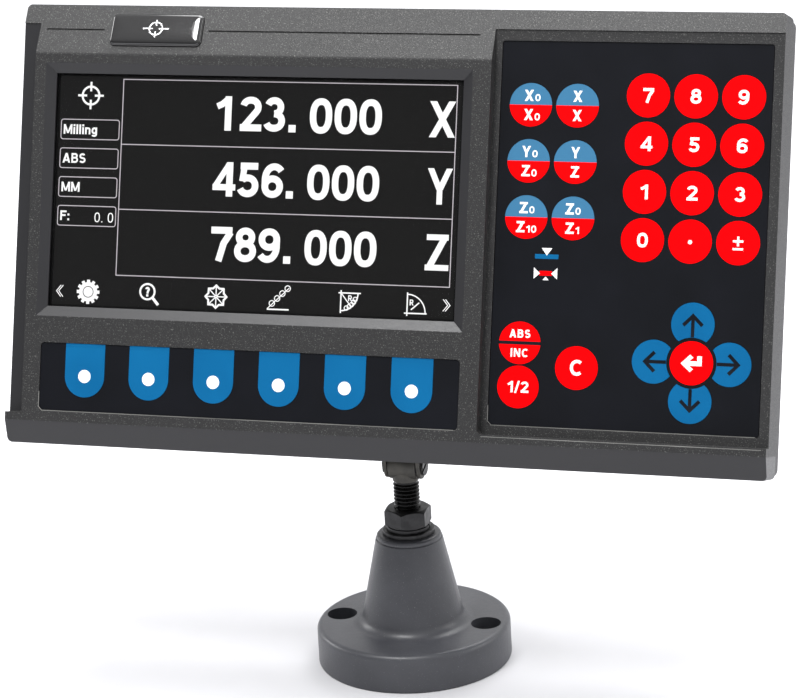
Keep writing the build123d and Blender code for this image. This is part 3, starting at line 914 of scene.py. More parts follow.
@dataclass
class Pen:
    """Draws strokes of one letter; a capital is one unit high."""

    canvas: Canvas
    x: float
    y: float
    wide: float
    high: float
    stroke: float

    @property
    def half(self) -> float:
        """Half a stroke's width, in units."""
        return self.stroke / 2

    def put(self, points: Iterable[Point]) -> List[Point]:
        """Move points of the letter to the canvas.

        Args:
            points: Points in units.

        Returns:
            The points in millimetres.
        """
        return [(self.x + x * self.wide, self.y + y * self.high) for x, y in points]

    def line(self, *points: Point, thin: float = 1.0) -> None:
        """Draw a stroke through some points.

        Args:
            *points: The points.
            thin: Share of the usual width.
        """
        self.canvas.band(self.put(points), self.stroke * self.high * thin)

    def oval(self, x: float, y: float, rx: float, ry: float, square: float = 2.3) -> None:
        """Draw a closed oval stroke.

        Args:
            x: Its middle.
            y: Its middle.
            rx: Radius along x.
            ry: Radius along y.
            square: 2 for an ellipse, more for fuller corners.
        """
        points = [oval_point(x, y, rx, ry, angle, square) for angle in turn(40)]
        self.canvas.band(self.put(points), self.stroke * self.high, True)

    def arc(self, x: float, y: float, rx: float, ry: float, start: float, sweep: float,
            before: Sequence[Point] = (), after: Sequence[Point] = ()) -> None:
        """Draw a curved stroke, with straight runs before and after it.

        Args:
            x: Middle of the arc.
            y: Middle of the arc.
            rx: Radius along x.
            ry: Radius along y.
            start: First angle, in degrees.
            sweep: How far it turns, in degrees.
            before: Points before it.
            after: Points after it.
        """
        middle = [oval_point(x, y, rx, ry, angle, 2.1) for angle in turn(24, start, sweep)]
        self.canvas.band(self.put([*before, *middle, *after]), self.stroke * self.high)

    def slant(self, start: Point, finish: Point, thick: float = 1.12) -> None:
        """Draw a leaning stroke whose ends are cut level.

        Args:
            start: Middle of one end.
            finish: Middle of the other end.
            thick: Its width along x, in strokes.
        """
        a, b = self.put((start, finish))
        side = self.stroke * self.high * thick / 2
        low, high = (a[0] - side, a[1]), (b[0] + side, b[1])
        self.canvas.polygon([low, (a[0] + side, a[1]), high, (b[0] - side, b[1])])

    def dot(self, x: float, y: float) -> None:
        """Draw a square dot.

        Args:
            x: Its middle.
            y: Its middle.
        """
        half = self.half * 1.08
        self.line((x, y - half), (x, y + half), thin=1.08)


class Glyphs:
    """Shapes of the letters and figures that are printed or shown."""

    WIDTHS: Dict[str, float] = {
        "1": 0.52, "X": 0.74, "Y": 0.72, "Z": 0.68, "A": 0.76, "B": 0.66, "S": 0.64, "I": 0.22, "N": 0.72,
        "C": 0.70, "M": 0.84, "R": 0.70, "F": 0.60, "i": 0.20, "l": 0.20, "n": 0.54, "g": 0.56, "?": 0.54,
        "/": 0.40, ".": 0.22, ":": 0.22, " ": 0.30,
    }

    @classmethod
    def width(cls, word: str) -> float:
        """Width of one letter.

        Args:
            word: The letter.

        Returns:
            Its width in units.
        """
        return cls.WIDTHS.get(word, 0.66)

    @classmethod
    def draw(cls, pen: Pen, word: str) -> None:
        """Draw one letter.

        Args:
            pen: Where it is drawn.
            word: The letter.
        """
        names = {".": "point", ":": "colon", "/": "slash", "?": "question", " ": "space"}
        case = "figure_" if word.isdigit() else ("small_" if word.islower() else "letter_")
        getattr(cls, names.get(word) or case + word.lower())(pen, pen.half)

    @staticmethod
    def figure_0(pen: Pen, h: float) -> None:
        """Figure nought."""
        pen.oval(0.33, 0.5, 0.33 - h, 0.5 - h, 2.4)

    @staticmethod
    def figure_1(pen: Pen, h: float) -> None:
        """Figure one."""
        pen.line((0.38, 0), (0.38, 1))
        pen.line((0.05, 0.70), (0.20, 0.77), (0.38, 0.93), thin=0.92)

    @staticmethod
    def figure_2(pen: Pen, h: float) -> None:
        """Figure two."""
        pen.arc(0.33, 0.70, 0.32 - h, 0.30 - h, 168, -205, after=[(0.02 + 1.2 * h, 1.3 * h)])
        pen.line((0.02, h), (0.66, h))

    @staticmethod
    def figure_3(pen: Pen, h: float) -> None:
        """Figure three."""
        middle = 0.52
        upper, lower = (1 - h - middle) / 2, (middle - h) / 2
        pen.arc(0.31, middle + upper, 0.29 - h, upper, 160, -250)
        pen.arc(0.31, middle - lower, 0.33 - h, lower, 90, -250)

    @staticmethod
    def figure_4(pen: Pen, h: float) -> None:
        """Figure four."""
        pen.line((0.50, 0), (0.50, 1))
        pen.line((0.06, 0.27), (0.47, 0.93), thin=0.85)
        pen.line((0.00, 0.27), (0.68, 0.27), thin=0.9)

    @staticmethod
    def figure_5(pen: Pen, h: float) -> None:
        """Figure five."""
        pen.line((0.62, 1 - h), (0.10, 1 - h))
        pen.line((0.12 + h, 1 - h), (0.06 + h, 0.46), thin=0.92)
        pen.arc(0.32, 0.33, 0.33 - h, 0.33 - h, 132, -290)

    @staticmethod
    def figure_6(pen: Pen, h: float) -> None:
        """Figure six."""
        pen.oval(0.34, 0.325, 0.32 - h, 0.325 - h, 2.1)
        pen.arc(0.39, 0.52, 0.37 - h, 0.48 - h, 42, 138, after=[(0.02 + h, 0.33)])

    @staticmethod
    def figure_7(pen: Pen, h: float) -> None:
        """Figure seven."""
        pen.line((0.02, 1 - h), (0.65, 1 - h))
        pen.line((0.60, 1 - 1.5 * h), (0.40, 0.52), (0.26, 0.0))

    @staticmethod
    def figure_8(pen: Pen, h: float) -> None:
        """Figure eight."""
        middle = 0.53
        upper, lower = (1 - h - middle) / 2, (middle - h) / 2
        pen.oval(0.33, middle + upper, 0.29 - h, upper, 2.1)
        pen.oval(0.33, middle - lower, 0.33 - h, lower, 2.1)

    @staticmethod
    def figure_9(pen: Pen, h: float) -> None:
        """Figure nine."""
        pen.oval(0.32, 0.675, 0.32 - h, 0.325 - h, 2.1)
        pen.arc(0.27, 0.48, 0.37 - h, 0.48 - h, 222, 138, after=[(0.64 - h, 0.67)])

    @staticmethod
    def letter_x(pen: Pen, h: float) -> None:
        """Letter X."""
        pen.slant((1.3 * h, 0), (0.74 - 1.3 * h, 1), 1.25)
        pen.slant((0.74 - 1.3 * h, 0), (1.3 * h, 1), 1.25)

    @staticmethod
    def letter_y(pen: Pen, h: float) -> None:
        """Letter Y."""
        pen.slant((1.2 * h, 1), (0.36, 0.40))
        pen.slant((0.72 - 1.2 * h, 1), (0.36, 0.40))
        pen.line((0.36, 0), (0.36, 0.46))

    @staticmethod
    def letter_z(pen: Pen, h: float) -> None:
        """Letter Z."""
        pen.line((0.04, 1 - h), (0.65, 1 - h))
        pen.line((0.01, h), (0.67, h))
        pen.slant((0.02 + 1.3 * h, h), (0.65 - 1.3 * h, 1 - h), 1.3)

    @staticmethod
    def letter_a(pen: Pen, h: float) -> None:
        """Letter A."""
        pen.slant((1.1 * h, 0), (0.38, 1))
        pen.slant((0.76 - 1.1 * h, 0), (0.38, 1))
        pen.line((0.18, 0.27), (0.58, 0.27), thin=0.9)

    @staticmethod
    def letter_b(pen: Pen, h: float) -> None:
        """Letter B."""
        middle = 0.53
        upper, lower = (1 - h - middle) / 2, (middle - h) / 2
        pen.line((h, 0), (h, 1))
        pen.arc(0.37, middle + upper, 0.25 - h, upper, 90, -180, [(h, 1 - h)], [(h, middle)])
        pen.arc(0.39, middle - lower, 0.27 - h, lower, 90, -180, [(h, middle)], [(h, h)])

    @staticmethod
    def letter_s(pen: Pen, h: float) -> None:
        """Letter S."""
        middle = 0.51
        upper, lower = (1 - h - middle) / 2, (middle - h) / 2
        pen.arc(0.32, middle + upper, 0.30 - h, upper, 28, 242)
        pen.arc(0.32, middle - lower, 0.32 - h, lower, 90, -242)

    @staticmethod
    def letter_i(pen: Pen, h: float) -> None:
        """Letter I."""
        pen.line((0.11, 0), (0.11, 1))

    @staticmethod
    def letter_n(pen: Pen, h: float) -> None:
        """Letter N."""
        pen.line((h, 0), (h, 1))
        pen.line((0.72 - h, 0), (0.72 - h, 1))
        pen.slant((1.1 * h, 1), (0.72 - 1.1 * h, 0))

    @staticmethod
    def letter_c(pen: Pen, h: float) -> None:
        """Letter C."""
        pen.arc(0.39, 0.5, 0.39 - h, 0.5 - h, 48, 264)

    @staticmethod
    def letter_m(pen: Pen, h: float) -> None:
        """Letter M."""
        pen.line((h, 0), (h, 1))
        pen.line((0.84 - h, 0), (0.84 - h, 1))
        pen.slant((1.1 * h, 1), (0.42, 0.08), 0.95)
        pen.slant((0.84 - 1.1 * h, 1), (0.42, 0.08), 0.95)

    @staticmethod
    def letter_r(pen: Pen, h: float) -> None:
        """Letter R."""
        middle = 0.45
        upper = (1 - h - middle) / 2
        pen.line((h, 0), (h, 1))
        pen.arc(0.37, middle + upper, 0.27 - h, upper, 90, -180, [(h, 1 - h)], [(h, middle)])
        pen.slant((0.34, middle), (0.70 - 1.1 * h, 0))

    @staticmethod
    def letter_f(pen: Pen, h: float) -> None:
        """Letter F."""
        pen.line((h, 0), (h, 1))
        pen.line((h, 1 - h), (0.60, 1 - h))
        pen.line((h, 0.52), (0.52, 0.52))

    @staticmethod
    def small_i(pen: Pen, h: float) -> None:
        """Small i."""
        pen.line((0.10, 0), (0.10, 0.72))
        pen.dot(0.10, 1 - h)

    @staticmethod
    def small_l(pen: Pen, h: float) -> None:
        """Small l."""
        pen.line((0.10, 0), (0.10, 1))

    @staticmethod
    def small_n(pen: Pen, h: float) -> None:
        """Small n."""
        pen.line((h, 0), (h, 0.72))
        pen.arc(0.27, 0.46, 0.27 - h, 0.26 - h, 180, -180, after=[(0.54 - h, 0)])

    @staticmethod
    def small_g(pen: Pen, h: float) -> None:
        """Small g."""
        pen.oval(0.27, 0.38, 0.27 - h, 0.35 - h, 2.1)
        pen.arc(0.27, 0.0, 0.28 - h, 0.24 - h, 0, -160, before=[(0.55 - h, 0.72)])

    @staticmethod
    def question(pen: Pen, h: float) -> None:
        """Question mark."""
        pen.arc(0.27, 0.74, 0.26 - h, 0.26 - h, 172, -232, after=[(0.27, 0.30)])
        pen.dot(0.27, h)

    @staticmethod
    def slash(pen: Pen, h: float) -> None:
        """Slash."""
        pen.slant((0.06, -0.04), (0.34, 1.04), 0.95)

    @staticmethod
    def point(pen: Pen, h: float) -> None:
        """Decimal point."""
        pen.dot(0.11, h)

    @staticmethod
    def colon(pen: Pen, h: float) -> None:
        """Colon."""
        pen.dot(0.11, h)
        pen.dot(0.11, 0.60)

    @staticmethod
    def space(pen: Pen, h: float) -> None:
        """Space."""


def oval_point(x: float, y: float, rx: float, ry: float, angle: float, square: float) -> Point:
    """Point of an oval with fuller corners than an ellipse.

    Args:
        x: Its middle.
        y: Its middle.
        rx: Radius along x.
        ry: Radius along y.
        angle: Direction, in radians.
        square: 2 for an ellipse, more for fuller corners.

    Returns:
        The point.
    """
    cos, sin = math.cos(angle), math.sin(angle)
    return (
        x + rx * math.copysign(abs(cos) ** (2 / square), cos),
        y + ry * math.copysign(abs(sin) ** (2 / square), sin),
    )


def circle(x: float, y: float, radius: float, angles: Sequence[float]) -> List[Point]:
    """Points of a circle or an arc.

    Args:
        x: Its middle.
        y: Its middle.
        radius: Its radius.
        angles: Where the points lie, in radians.

    Returns:
        The points.
    """
    return [(x + radius * math.cos(angle), y + radius * math.sin(angle)) for angle in angles]


def turn(steps: int, start: float = 0.0, sweep: float = 360.0) -> List[float]:
    """Angles spread over a full turn or over an arc.

    Args:
        steps: How many.
        start: First angle, in degrees.
        sweep: How far they go; a full turn leaves out its last one.

    Returns:
        The angles in radians.
    """
    last = steps if sweep >= 360.0 else steps - 1
    return [math.radians(start + sweep * number / last) for number in range(steps)]


def mitre(before: Optional[Point], here: Point, after: Optional[Point]) -> Vector:
    """Side vector of a band at one point of its path.

    Args:
        before: The point before, if any.
        here: The point.
        after: The point after, if any.

    Returns:
        The vector across the band, long enough to keep its width even.
    """
    sides = []
    for a, b in ((before, here), (here, after)):
        if a is not None and b is not None:
            run = (Vector(b) - Vector(a)).normalized()
            sides.append(Vector((-run.y, run.x)))
    if len(sides) == 1:
        return sides[0]
    middle = (sides[0] + sides[1]).normalized()
    return middle / max(middle.dot(sides[0]), 0.4)


# ---------------------------------------------------------------- keypad
class Ink(Enum):
    """Colour that a key is printed in."""

    RED = "key_red"
    BLUE = "key_blue"
    TWO = "two"
    GAP = "gap"


@dataclass(frozen=True)
class KeyPrint:
    """What is printed on one key: its colour and its lines of letters."""

    node: str
    ink: Ink
    lines: Tuple[Tuple[str, float, float, float], ...] = ()
    wide: float = 1.2
    gap: float = 0.10


@dataclass
class Keypad:
    """The printed keys, the arrows and the marks between them."""

    panel: PanelFrame
    palette: Palette
    digit: float = 5.3
    letter: float = 4.1
    small: float = 2.6
    reach: float = 13.9
    marks_at: Point = (62.1, 77.6)
    keys: List[KeyPrint] = field(default_factory=list)
    deck: float = 0.0
    ways: ClassVar[Dict[str, Point]] = {"up": (0, 1), "down": (0, -1), "left": (-1, 0), "right": (1, 0)}

    def __post_init__(self) -> None:
        """List what every key shows."""
        self.deck = self.panel.front_of("key_seven") - KEY_SUNK
        names = ("seven", "eight", "nine", "four", "five", "six", "one", "two", "three", "zero")
        for name, digit in zip(names, "7894561230"):
            self.keys.append(KeyPrint("key_" + name, Ink.RED, ((digit, 0.0, 0.0, self.digit),)))
        self.keys.append(KeyPrint("key_sign", Ink.RED, ()))
        self.keys.append(KeyPrint("key_point", Ink.RED, ()))
        self.keys.append(KeyPrint("key_clear", Ink.RED, (("C", -0.1, 0.1, 5.8),)))
        self.keys.append(KeyPrint("key_half", Ink.RED, (("1/2", 0.0, 0.0, self.letter),), 1.12))
        mode = (("ABS", 0.0, 3.4, 3.0), ("INC", 0.0, -3.6, 3.1))
        self.keys.append(KeyPrint("key_mode", Ink.GAP, mode, 1.12, 0.16))
        self.keys.append(KeyPrint("key_enter", Ink.RED, ()))
        pairs = (("x_zero", "X0", "X0", 0.6), ("x_select", "X", "X", 0.0), ("y_zero", "Y0", "Z0", 0.4),
                 ("y_select", "Y", "Z", 0.0), ("z_zero", "Z0", "Z10", 0.2), ("z_select", "Z0", "Z1", 0.0))
        for name, upper, lower, shift in pairs:
            lines = self.indexed(upper, 3.4, shift) + self.indexed(lower, -3.6, shift)
            self.keys.append(KeyPrint("key_" + name, Ink.TWO, lines, 1.2))
        for way in ("up", "down", "left", "right"):
            self.keys.append(KeyPrint("key_arrow_" + way, Ink.BLUE))

    def indexed(self, words: str, y: float, shift: float) -> Tuple[Tuple[str, float, float, float], ...]:
        """Split a letter from its small index digits.

        Args:
            words: The letter and its digits.
            y: Height of its middle over the key's.
            shift: How far the pair stands to the right of the key's middle.

        Returns:
            The lines to print.
        """
        letter, index = words[0], words[1:]
        if not index:
            return ((letter, 0.0, y, self.letter),)
        main = Glyphs.width(letter) * 1.2 * self.letter
        small = sum(Glyphs.width(word) * 1.2 + 0.1 for word in index) * self.small
        start = shift - (main + 0.3 + small) / 2
        return (
            (letter, start + main / 2, y, self.letter),
            (index, start + main + 0.3 + small / 2, y - (self.letter - self.small) / 2, self.small),
        )

    def build(self) -> int:
        """Print every key.

        Returns:
            How many pieces of ink were made.
        """
        made = 0
        for key in self.keys:
            body = key.node + "_body"
            paint = {
                Ink.RED: self.palette.key_red,
                Ink.BLUE: self.palette.key_blue,
            }.get(key.ink) or self.palette.split_key(key.node, key.ink is Ink.GAP)
            dress(key.node, paint)
            if key.lines:
                canvas = self.sheet(key.node)
                for words, x, y, height in key.lines:
                    canvas.text(words, x, y, height, 0.2, key.wide, gap=key.gap)
                canvas.finish(body, self.palette.ink_white, "key_red")
                made += 1
        made += self.signs() + self.arrows() + self.marks()
        LOG.info("keypad: %d keys, %d pieces of ink", len(self.keys), made)
        return made

    def sheet(self, node: str) -> Canvas:
        """Canvas on the face of one key.

        Args:
            node: The key's CAD node.

        Returns:
            The canvas.
        """
        x, y = self.key_place(node)
        return Canvas(node + "_ink", self.panel.matrix(x, y, self.deck + KEY_SUNK - INK_LIFT))

    def key_place(self, node: str) -> Tuple[float, float]:
        """Middle of a key's face, or of the disc that an arrow key is part of.

        Args:
            node: The key's CAD node.

        Returns:
            Its x and y on the panel.
        """
        if node.startswith("key_arrow"):
            across, rise = self.ways[node.rsplit("_", 1)[-1]]
            x, y = self.key_place("key_enter")
            return x + across * self.reach, y + rise * self.reach
        left, right, low, high = self.panel.span(node)
        return (left + right) / 2, (low + high) / 2

    def signs(self) -> int:
        """Print the point, the plus-minus sign and the return arrow.

        Returns:
            How many pieces of ink were made.
        """
        point = self.sheet("key_point")
        point.disc(0.0, -0.2, 0.78)
        point.finish("key_point_body", self.palette.ink_white, "key_red")
        sign = self.sheet("key_sign")
        sign.bar((-1.9, 0.6), (1.9, 0.6), 0.8)
        sign.bar((0.0, 2.35), (0.0, -1.15), 0.8)
        sign.bar((-1.9, -2.2), (1.9, -2.2), 0.8)
        sign.finish("key_sign_body", self.palette.ink_white, "key_red")
        back = self.sheet("key_enter")
        back.polygon([(3.8, 2.6), (2.1, 2.6), (2.1, 0.75), (-0.7, 0.75), (0.75, 2.05), (-0.5, 3.1),
                      (-3.9, -0.15), (-0.5, -3.2), (0.75, -2.15), (-0.7, -0.95), (3.8, -0.95)])
        back.finish("key_enter_body", self.palette.ink_white, "key_red")
        return 3

    def arrows(self) -> int:
        """Print the four black arrows.

        Returns:
            How many pieces of ink were made.
        """
        for way, angle in (("up", 90.0), ("down", -90.0), ("left", 180.0), ("right", 0.0)):
            canvas = self.sheet("key_arrow_" + way)
            cos, sin = math.cos(math.radians(angle)), math.sin(math.radians(angle))
            outline = [(-4.6, 0.62), (1.65, 0.62), (-0.8, 3.05), (0.15, 3.95), (4.05, 0.0),
                       (0.15, -3.95), (-0.8, -3.05), (1.65, -0.62), (-4.6, -0.62)]
            canvas.polygon([(x * cos - y * sin, x * sin + y * cos) for x, y in outline])
            canvas.finish("key_arrow_" + way + "_body", self.palette.ink_black, "key_blue")
        return 4

    def marks(self) -> int:
        """Print the two small marks under the axis keys.

        Returns:
            How many pieces of ink were made.
        """
        depth = self.deck + FILM_SUNK - INK_LIFT
        blue = Canvas("mark_blue", self.panel.matrix(*self.marks_at, depth))
        blue.bar((-4.4, 0), (4.4, 0), 1.7)
        blue.finish("head", self.palette.key_blue, "key_blue")
        white = Canvas("mark_white", self.panel.matrix(*self.marks_at, depth - 0.03))
        white.polygon([(-2.0, 3.1), (2.0, 3.1), (0.0, 0.4)])
        white.polygon([(-4.6, -4.0), (-4.6, -8.2), (-2.3, -6.2)])
        white.polygon([(4.2, -4.0), (4.2, -8.2), (1.9, -6.2)])
        white.polygon([(-1.3, -8.6), (1.1, -8.6), (-0.1, -7.3)])
        white.finish("head", self.palette.ink_white, "membrane_film")
        red = Canvas("mark_red", self.panel.matrix(*self.marks_at, depth))
        red.bar((-2.5, -6.1), (2.2, -6.1), 1.7)
        red.finish("head", self.palette.key_red, "key_red")
        return 3


@dataclass
class Softkeys:
    """The six blue softkeys with their white dots."""

    panel: PanelFrame
    palette: Palette
    first: float = -114.7
    pitch: float = 25.79
    y: float = 26.3
    radius: float = 7.95
    top: float = 38.6

    def build(self) -> int:
        """Print every softkey.

        Returns:
            How many pieces of ink were made.
        """
        for number in range(6):
            node = f"softkey_{number + 1}"
            x = self.first + number * self.pitch
            dress(node, self.palette.key_blue)
            strip = Canvas(node + "_strip", self.panel.matrix(x, 0, FILM_SUNK - INK_LIFT))
            strip.bar((0, 37.1), (0, self.top), 2 * self.radius)
            strip.finish("head", self.palette.key_blue, "key_blue")
            dot = Canvas(node + "_dot", self.panel.matrix(x, self.y, KEY_SUNK - INK_LIFT))
            dot.disc(0, 0, 2.5)
            dot.finish(node + "_body", self.palette.ink_white, "key_blue")
        LOG.info("softkeys: 6 keys")
        return 12


# ---------------------------------------------------------------- screen
@dataclass
class Screen:
    """The picture on the display: three axis rows, four boxes and a row of icons."""

    panel: PanelFrame
    palette: Palette
    depth: float = 3.95
    left: float = -130.6
    right: float = 27.9
    low: float = 53.3
    high: float = 140.3
    line: float = 0.32

    def build(self) -> int:
        """Draw the screen.

        Returns:
            How many pieces were made.
        """
        base = Canvas("screen_base", self.panel.matrix(0, 0, self.depth), 0.05)
        left, right, low, high = self.left, self.right, self.low, self.high
        base.polygon([(left, low), (right, low), (right, high), (left, high)])
        base.finish("head", self.palette.screen, "lcd")
        self.table()
        self.rows()
        self.boxes()
        icons = self.sheet("screen_icons")
        Icons(icons).build()
        icons.finish("head", self.palette.screen_white, "lcd")
        LOG.info("screen: base, table, rows, boxes, words and icons")
        return 6

    def sheet(self, name: str) -> Canvas:
        """Canvas just in front of the display's face.

        Args:
            name: Name of the piece.

        Returns:
            The canvas.
        """
        return Canvas(name, self.panel.matrix(0, 0, self.depth - 0.06), 0.02)

    def table(self) -> None:
        """Draw the lines between the axis rows."""
        lines = self.sheet("screen_table")
        left, right = -105.1, 26.1
        heights = (139.3, 114.7, 90.1, 65.1)
        top, bottom = heights[0], heights[-1]
        lines.band([(left, top), (right, top), (right, bottom), (left, bottom)], self.line, True)
        for height in heights[1:3]:
            lines.bar((left, height), (right, height), self.line)
        lines.finish("head", self.palette.screen_line, "lcd")

    def rows(self) -> None:
        """Draw the axis letters and their figures."""
        ink = self.sheet("screen_rows")
        for number, (axis, figures) in enumerate((("X", "123"), ("Y", "456"), ("Z", "789"))):
            y = (127.2, 102.5, 78.2)[number]
            ink.text(figures, -39.9, y, 12.9, 0.2, 1.03, "RIGHT", pitch=9.55)
            ink.text(".", -37.3, y, 12.9, 0.2)
            ink.text("000", -16.5, y - 0.2, 13.2, 0.19, 1.0, pitch=9.65)
            ink.text(axis, 20.8, y - 0.5, 13.3, 0.16, 1.03)
        ink.finish("head", self.palette.screen_white, "lcd")

    def boxes(self) -> None:
        """Draw the four boxes on the left and a plain mark above them."""
        frames = self.sheet("screen_boxes")
        words = self.sheet("screen_words")
        for number, label in enumerate(("Milling", "ABS", "MM", "F:")):
            y = 120.0 - number * 10.95
            frames.band(rounded(-118.0, y, 23.6, 7.5, 0.9), 0.3, True)
            words.text(label, -128.8, y, 3.7, 0.19, 1.16, "LEFT", 0.09)
        words.text("0. 0", -107.2, 120.0 - 3 * 10.95 - 0.4, 3.7, 0.11, 0.88, "RIGHT", 0.14)
        mark = (-118.2, 132.9)
        words.ring(mark[0], mark[1], 3.4, 0.8)
        for way in ((1, 0), (-1, 0), (0, 1), (0, -1)):
            start, stop = (tuple(at + reach * step for at, step in zip(mark, way)) for reach in (1.6, 5.2))
            words.bar(start, stop, 0.8)
        frames.finish("head", self.palette.screen_line, "lcd")
        words.finish("head", self.palette.screen_white, "lcd")


@dataclass
class Icons:
    """The row of icons under the table; each is drawn round its own middle."""

    ink: Canvas
    y: float = 58.4

    def build(self) -> None:
        """Draw the row, with the small angles at its ends."""
        y = self.y
        for x, way in ((-128.3, 1.0), (25.9, -1.0)):
            for shift in (0.0, 0.9 * way):
                tail = x + way * 1.1 + shift
                self.ink.band([(tail, y + 2.2), (x - way * 0.7 + shift, y), (tail, y - 2.2)], 0.32)
        icons = (self.gear, self.lens, self.star, self.holes, self.arc_holes, self.quarter)
        for draw, x in zip(icons, (-116.1, -91.2, -64.6, -40.0, -12.2, 13.4)):
            draw(x)

    def gear(self, x: float) -> None:
        """Draw a gear wheel.

        Args:
            x: Its middle.
        """
        ink, y = self.ink, self.y
        ink.ring(x, y, 2.95, 1.5)
        ink.disc(x, y, 1.9)
        for angle in turn(12):
            way = Vector((math.cos(angle), math.sin(angle)))
            a, b = way * 3.5, way * 4.6
            ink.bar((x + a.x, y + a.y), (x + b.x, y + b.y), 1.25)

    def lens(self, x: float) -> None:
        """Draw a magnifier with a question mark.

        Args:
            x: Its middle.
        """
        ink, y = self.ink, self.y
        ink.ring(x - 0.9, y + 0.9, 2.9, 0.75)
        ink.text("?", x - 0.9, y + 0.9, 3.6, 0.22)
        ink.bar((x + 1.2, y - 1.3), (x + 3.6, y - 4.0), 1.1)

    def star(self, x: float) -> None:
        """Draw an eight-armed star in a ring of points.

        Args:
            x: Its middle.
        """
        ink, y = self.ink, self.y
        for angle in turn(8):
            cos, sin = math.cos(angle), math.sin(angle)
            ink.bar((x + cos * 0.2, y + sin * 0.2), (x + cos * 3.9, y + sin * 3.9), 0.42)
        path = []
        for number, angle in enumerate(turn(16)):
            path += circle(x, y, 3.3 if number % 2 else 4.2, [angle])
        ink.band(path, 0.75, True)

    def holes(self, x: float) -> None:
        """Draw a leaning row of holes over a base line.

        Args:
            x: Its middle.
        """
        ink, y = self.ink, self.y
        ink.bar((x - 4.3, y - 3.9), (x + 4.3, y - 3.9), 0.55)
        ink.bar((x - 4.2, y - 3.7), (x + 4.2, y + 4.2), 0.35)
        for number in range(4):
            ink.ring(x - 2.4 + number * 2.0, y - 1.7 + number * 1.9, 1.05, 0.34)

    def arc_holes(self, x: float) -> None:
        """Draw a quarter arc of holes with its radius.

        Args:
            x: Its middle.
        """
        ink, y = self.ink, self.y
        corner = (x - 3.3, y + 3.2)
        ink.bar((corner[0] - 1.0, corner[1]), (x + 4.4, corner[1]), 0.5)
        ink.bar((corner[0], corner[1] + 1.0), (corner[0], y - 4.3), 0.5)
        ink.band(circle(*corner, 6.6, turn(20, -90.0, 90.0)), 0.5)
        for hole in circle(*corner, 6.0, turn(5, -68.0, 46.0)):
            ink.ring(*hole, 0.8, 0.35)
        ink.bar(corner, (corner[0] + 3.2, corner[1] - 4.0), 0.4)
        ink.text("R", x + 0.3, y + 1.3, 2.2, 0.18)

    def quarter(self, x: float) -> None:
        """Draw a quarter circle with its radius arrow.

        Args:
            x: Its middle.
        """
        ink, y = self.ink, self.y
        corner = (x - 3.2, y - 3.4)
        ink.bar((corner[0] - 1.1, corner[1]), (x + 4.4, corner[1]), 0.5)
        ink.bar((corner[0], corner[1] - 1.0), (corner[0], y + 4.3), 0.5)
        ink.band(circle(*corner, 7.0, turn(20, 0.0, 90.0)), 0.45)
        ink.bar((corner[0] + 1.5, corner[1] + 1.3), (corner[0] + 4.6, corner[1] + 4.0), 0.5)
        ink.text("R", x - 1.5, y + 0.6, 2.2, 0.18)


def rounded(x: float, y: float, width: float, height: float, radius: float) -> List[Point]:
    """Corners of a rounded rectangle.

    Args:
        x: Middle.
        y: Middle.
        width: Width.
        height: Height.
        radius: Corner radius.

    Returns:
        The outline's points.
    """
    points = []
    for number, (sx, sy) in enumerate(((1, 1), (-1, 1), (-1, -1), (1, -1))):
        cx, cy = x + sx * (width / 2 - radius), y + sy * (height / 2 - radius)
        points += circle(cx, cy, radius, turn(6, number * 90.0, 90.0))
    return points


# ---------------------------------------------------------------- case and stand
def soften(node: str, width: float) -> None:
    """Round the sharp edges of a CAD node a little, so that they catch the light.

    Args:
        node: The node's name.
        width: Width of the rounding, in millimetres.
    """
    piece = frame["nodes"][node]
    weld = piece.modifiers.new("weld", "WELD")
    weld.merge_threshold = WELD
    bevel = piece.modifiers.new("bevel", "BEVEL")
    bevel.width = width * MM
    bevel.segments = 2
    bevel.limit_method = "ANGLE"
    bevel.angle_limit = SHARP
    bevel.use_clamp_overlap = True
    normals = piece.modifiers.new("normals", "WEIGHTED_NORMAL")
    normals.weight = 90
    normals.keep_sharp = True


def dress(node: str, material: bpy.types.Material) -> None:
    """Give a CAD node a material.

    Args:
        node: The node's name.
        material: The material.
    """
    slots = frame["nodes"][node].data.materials
    slots.clear()
    slots.append(material)


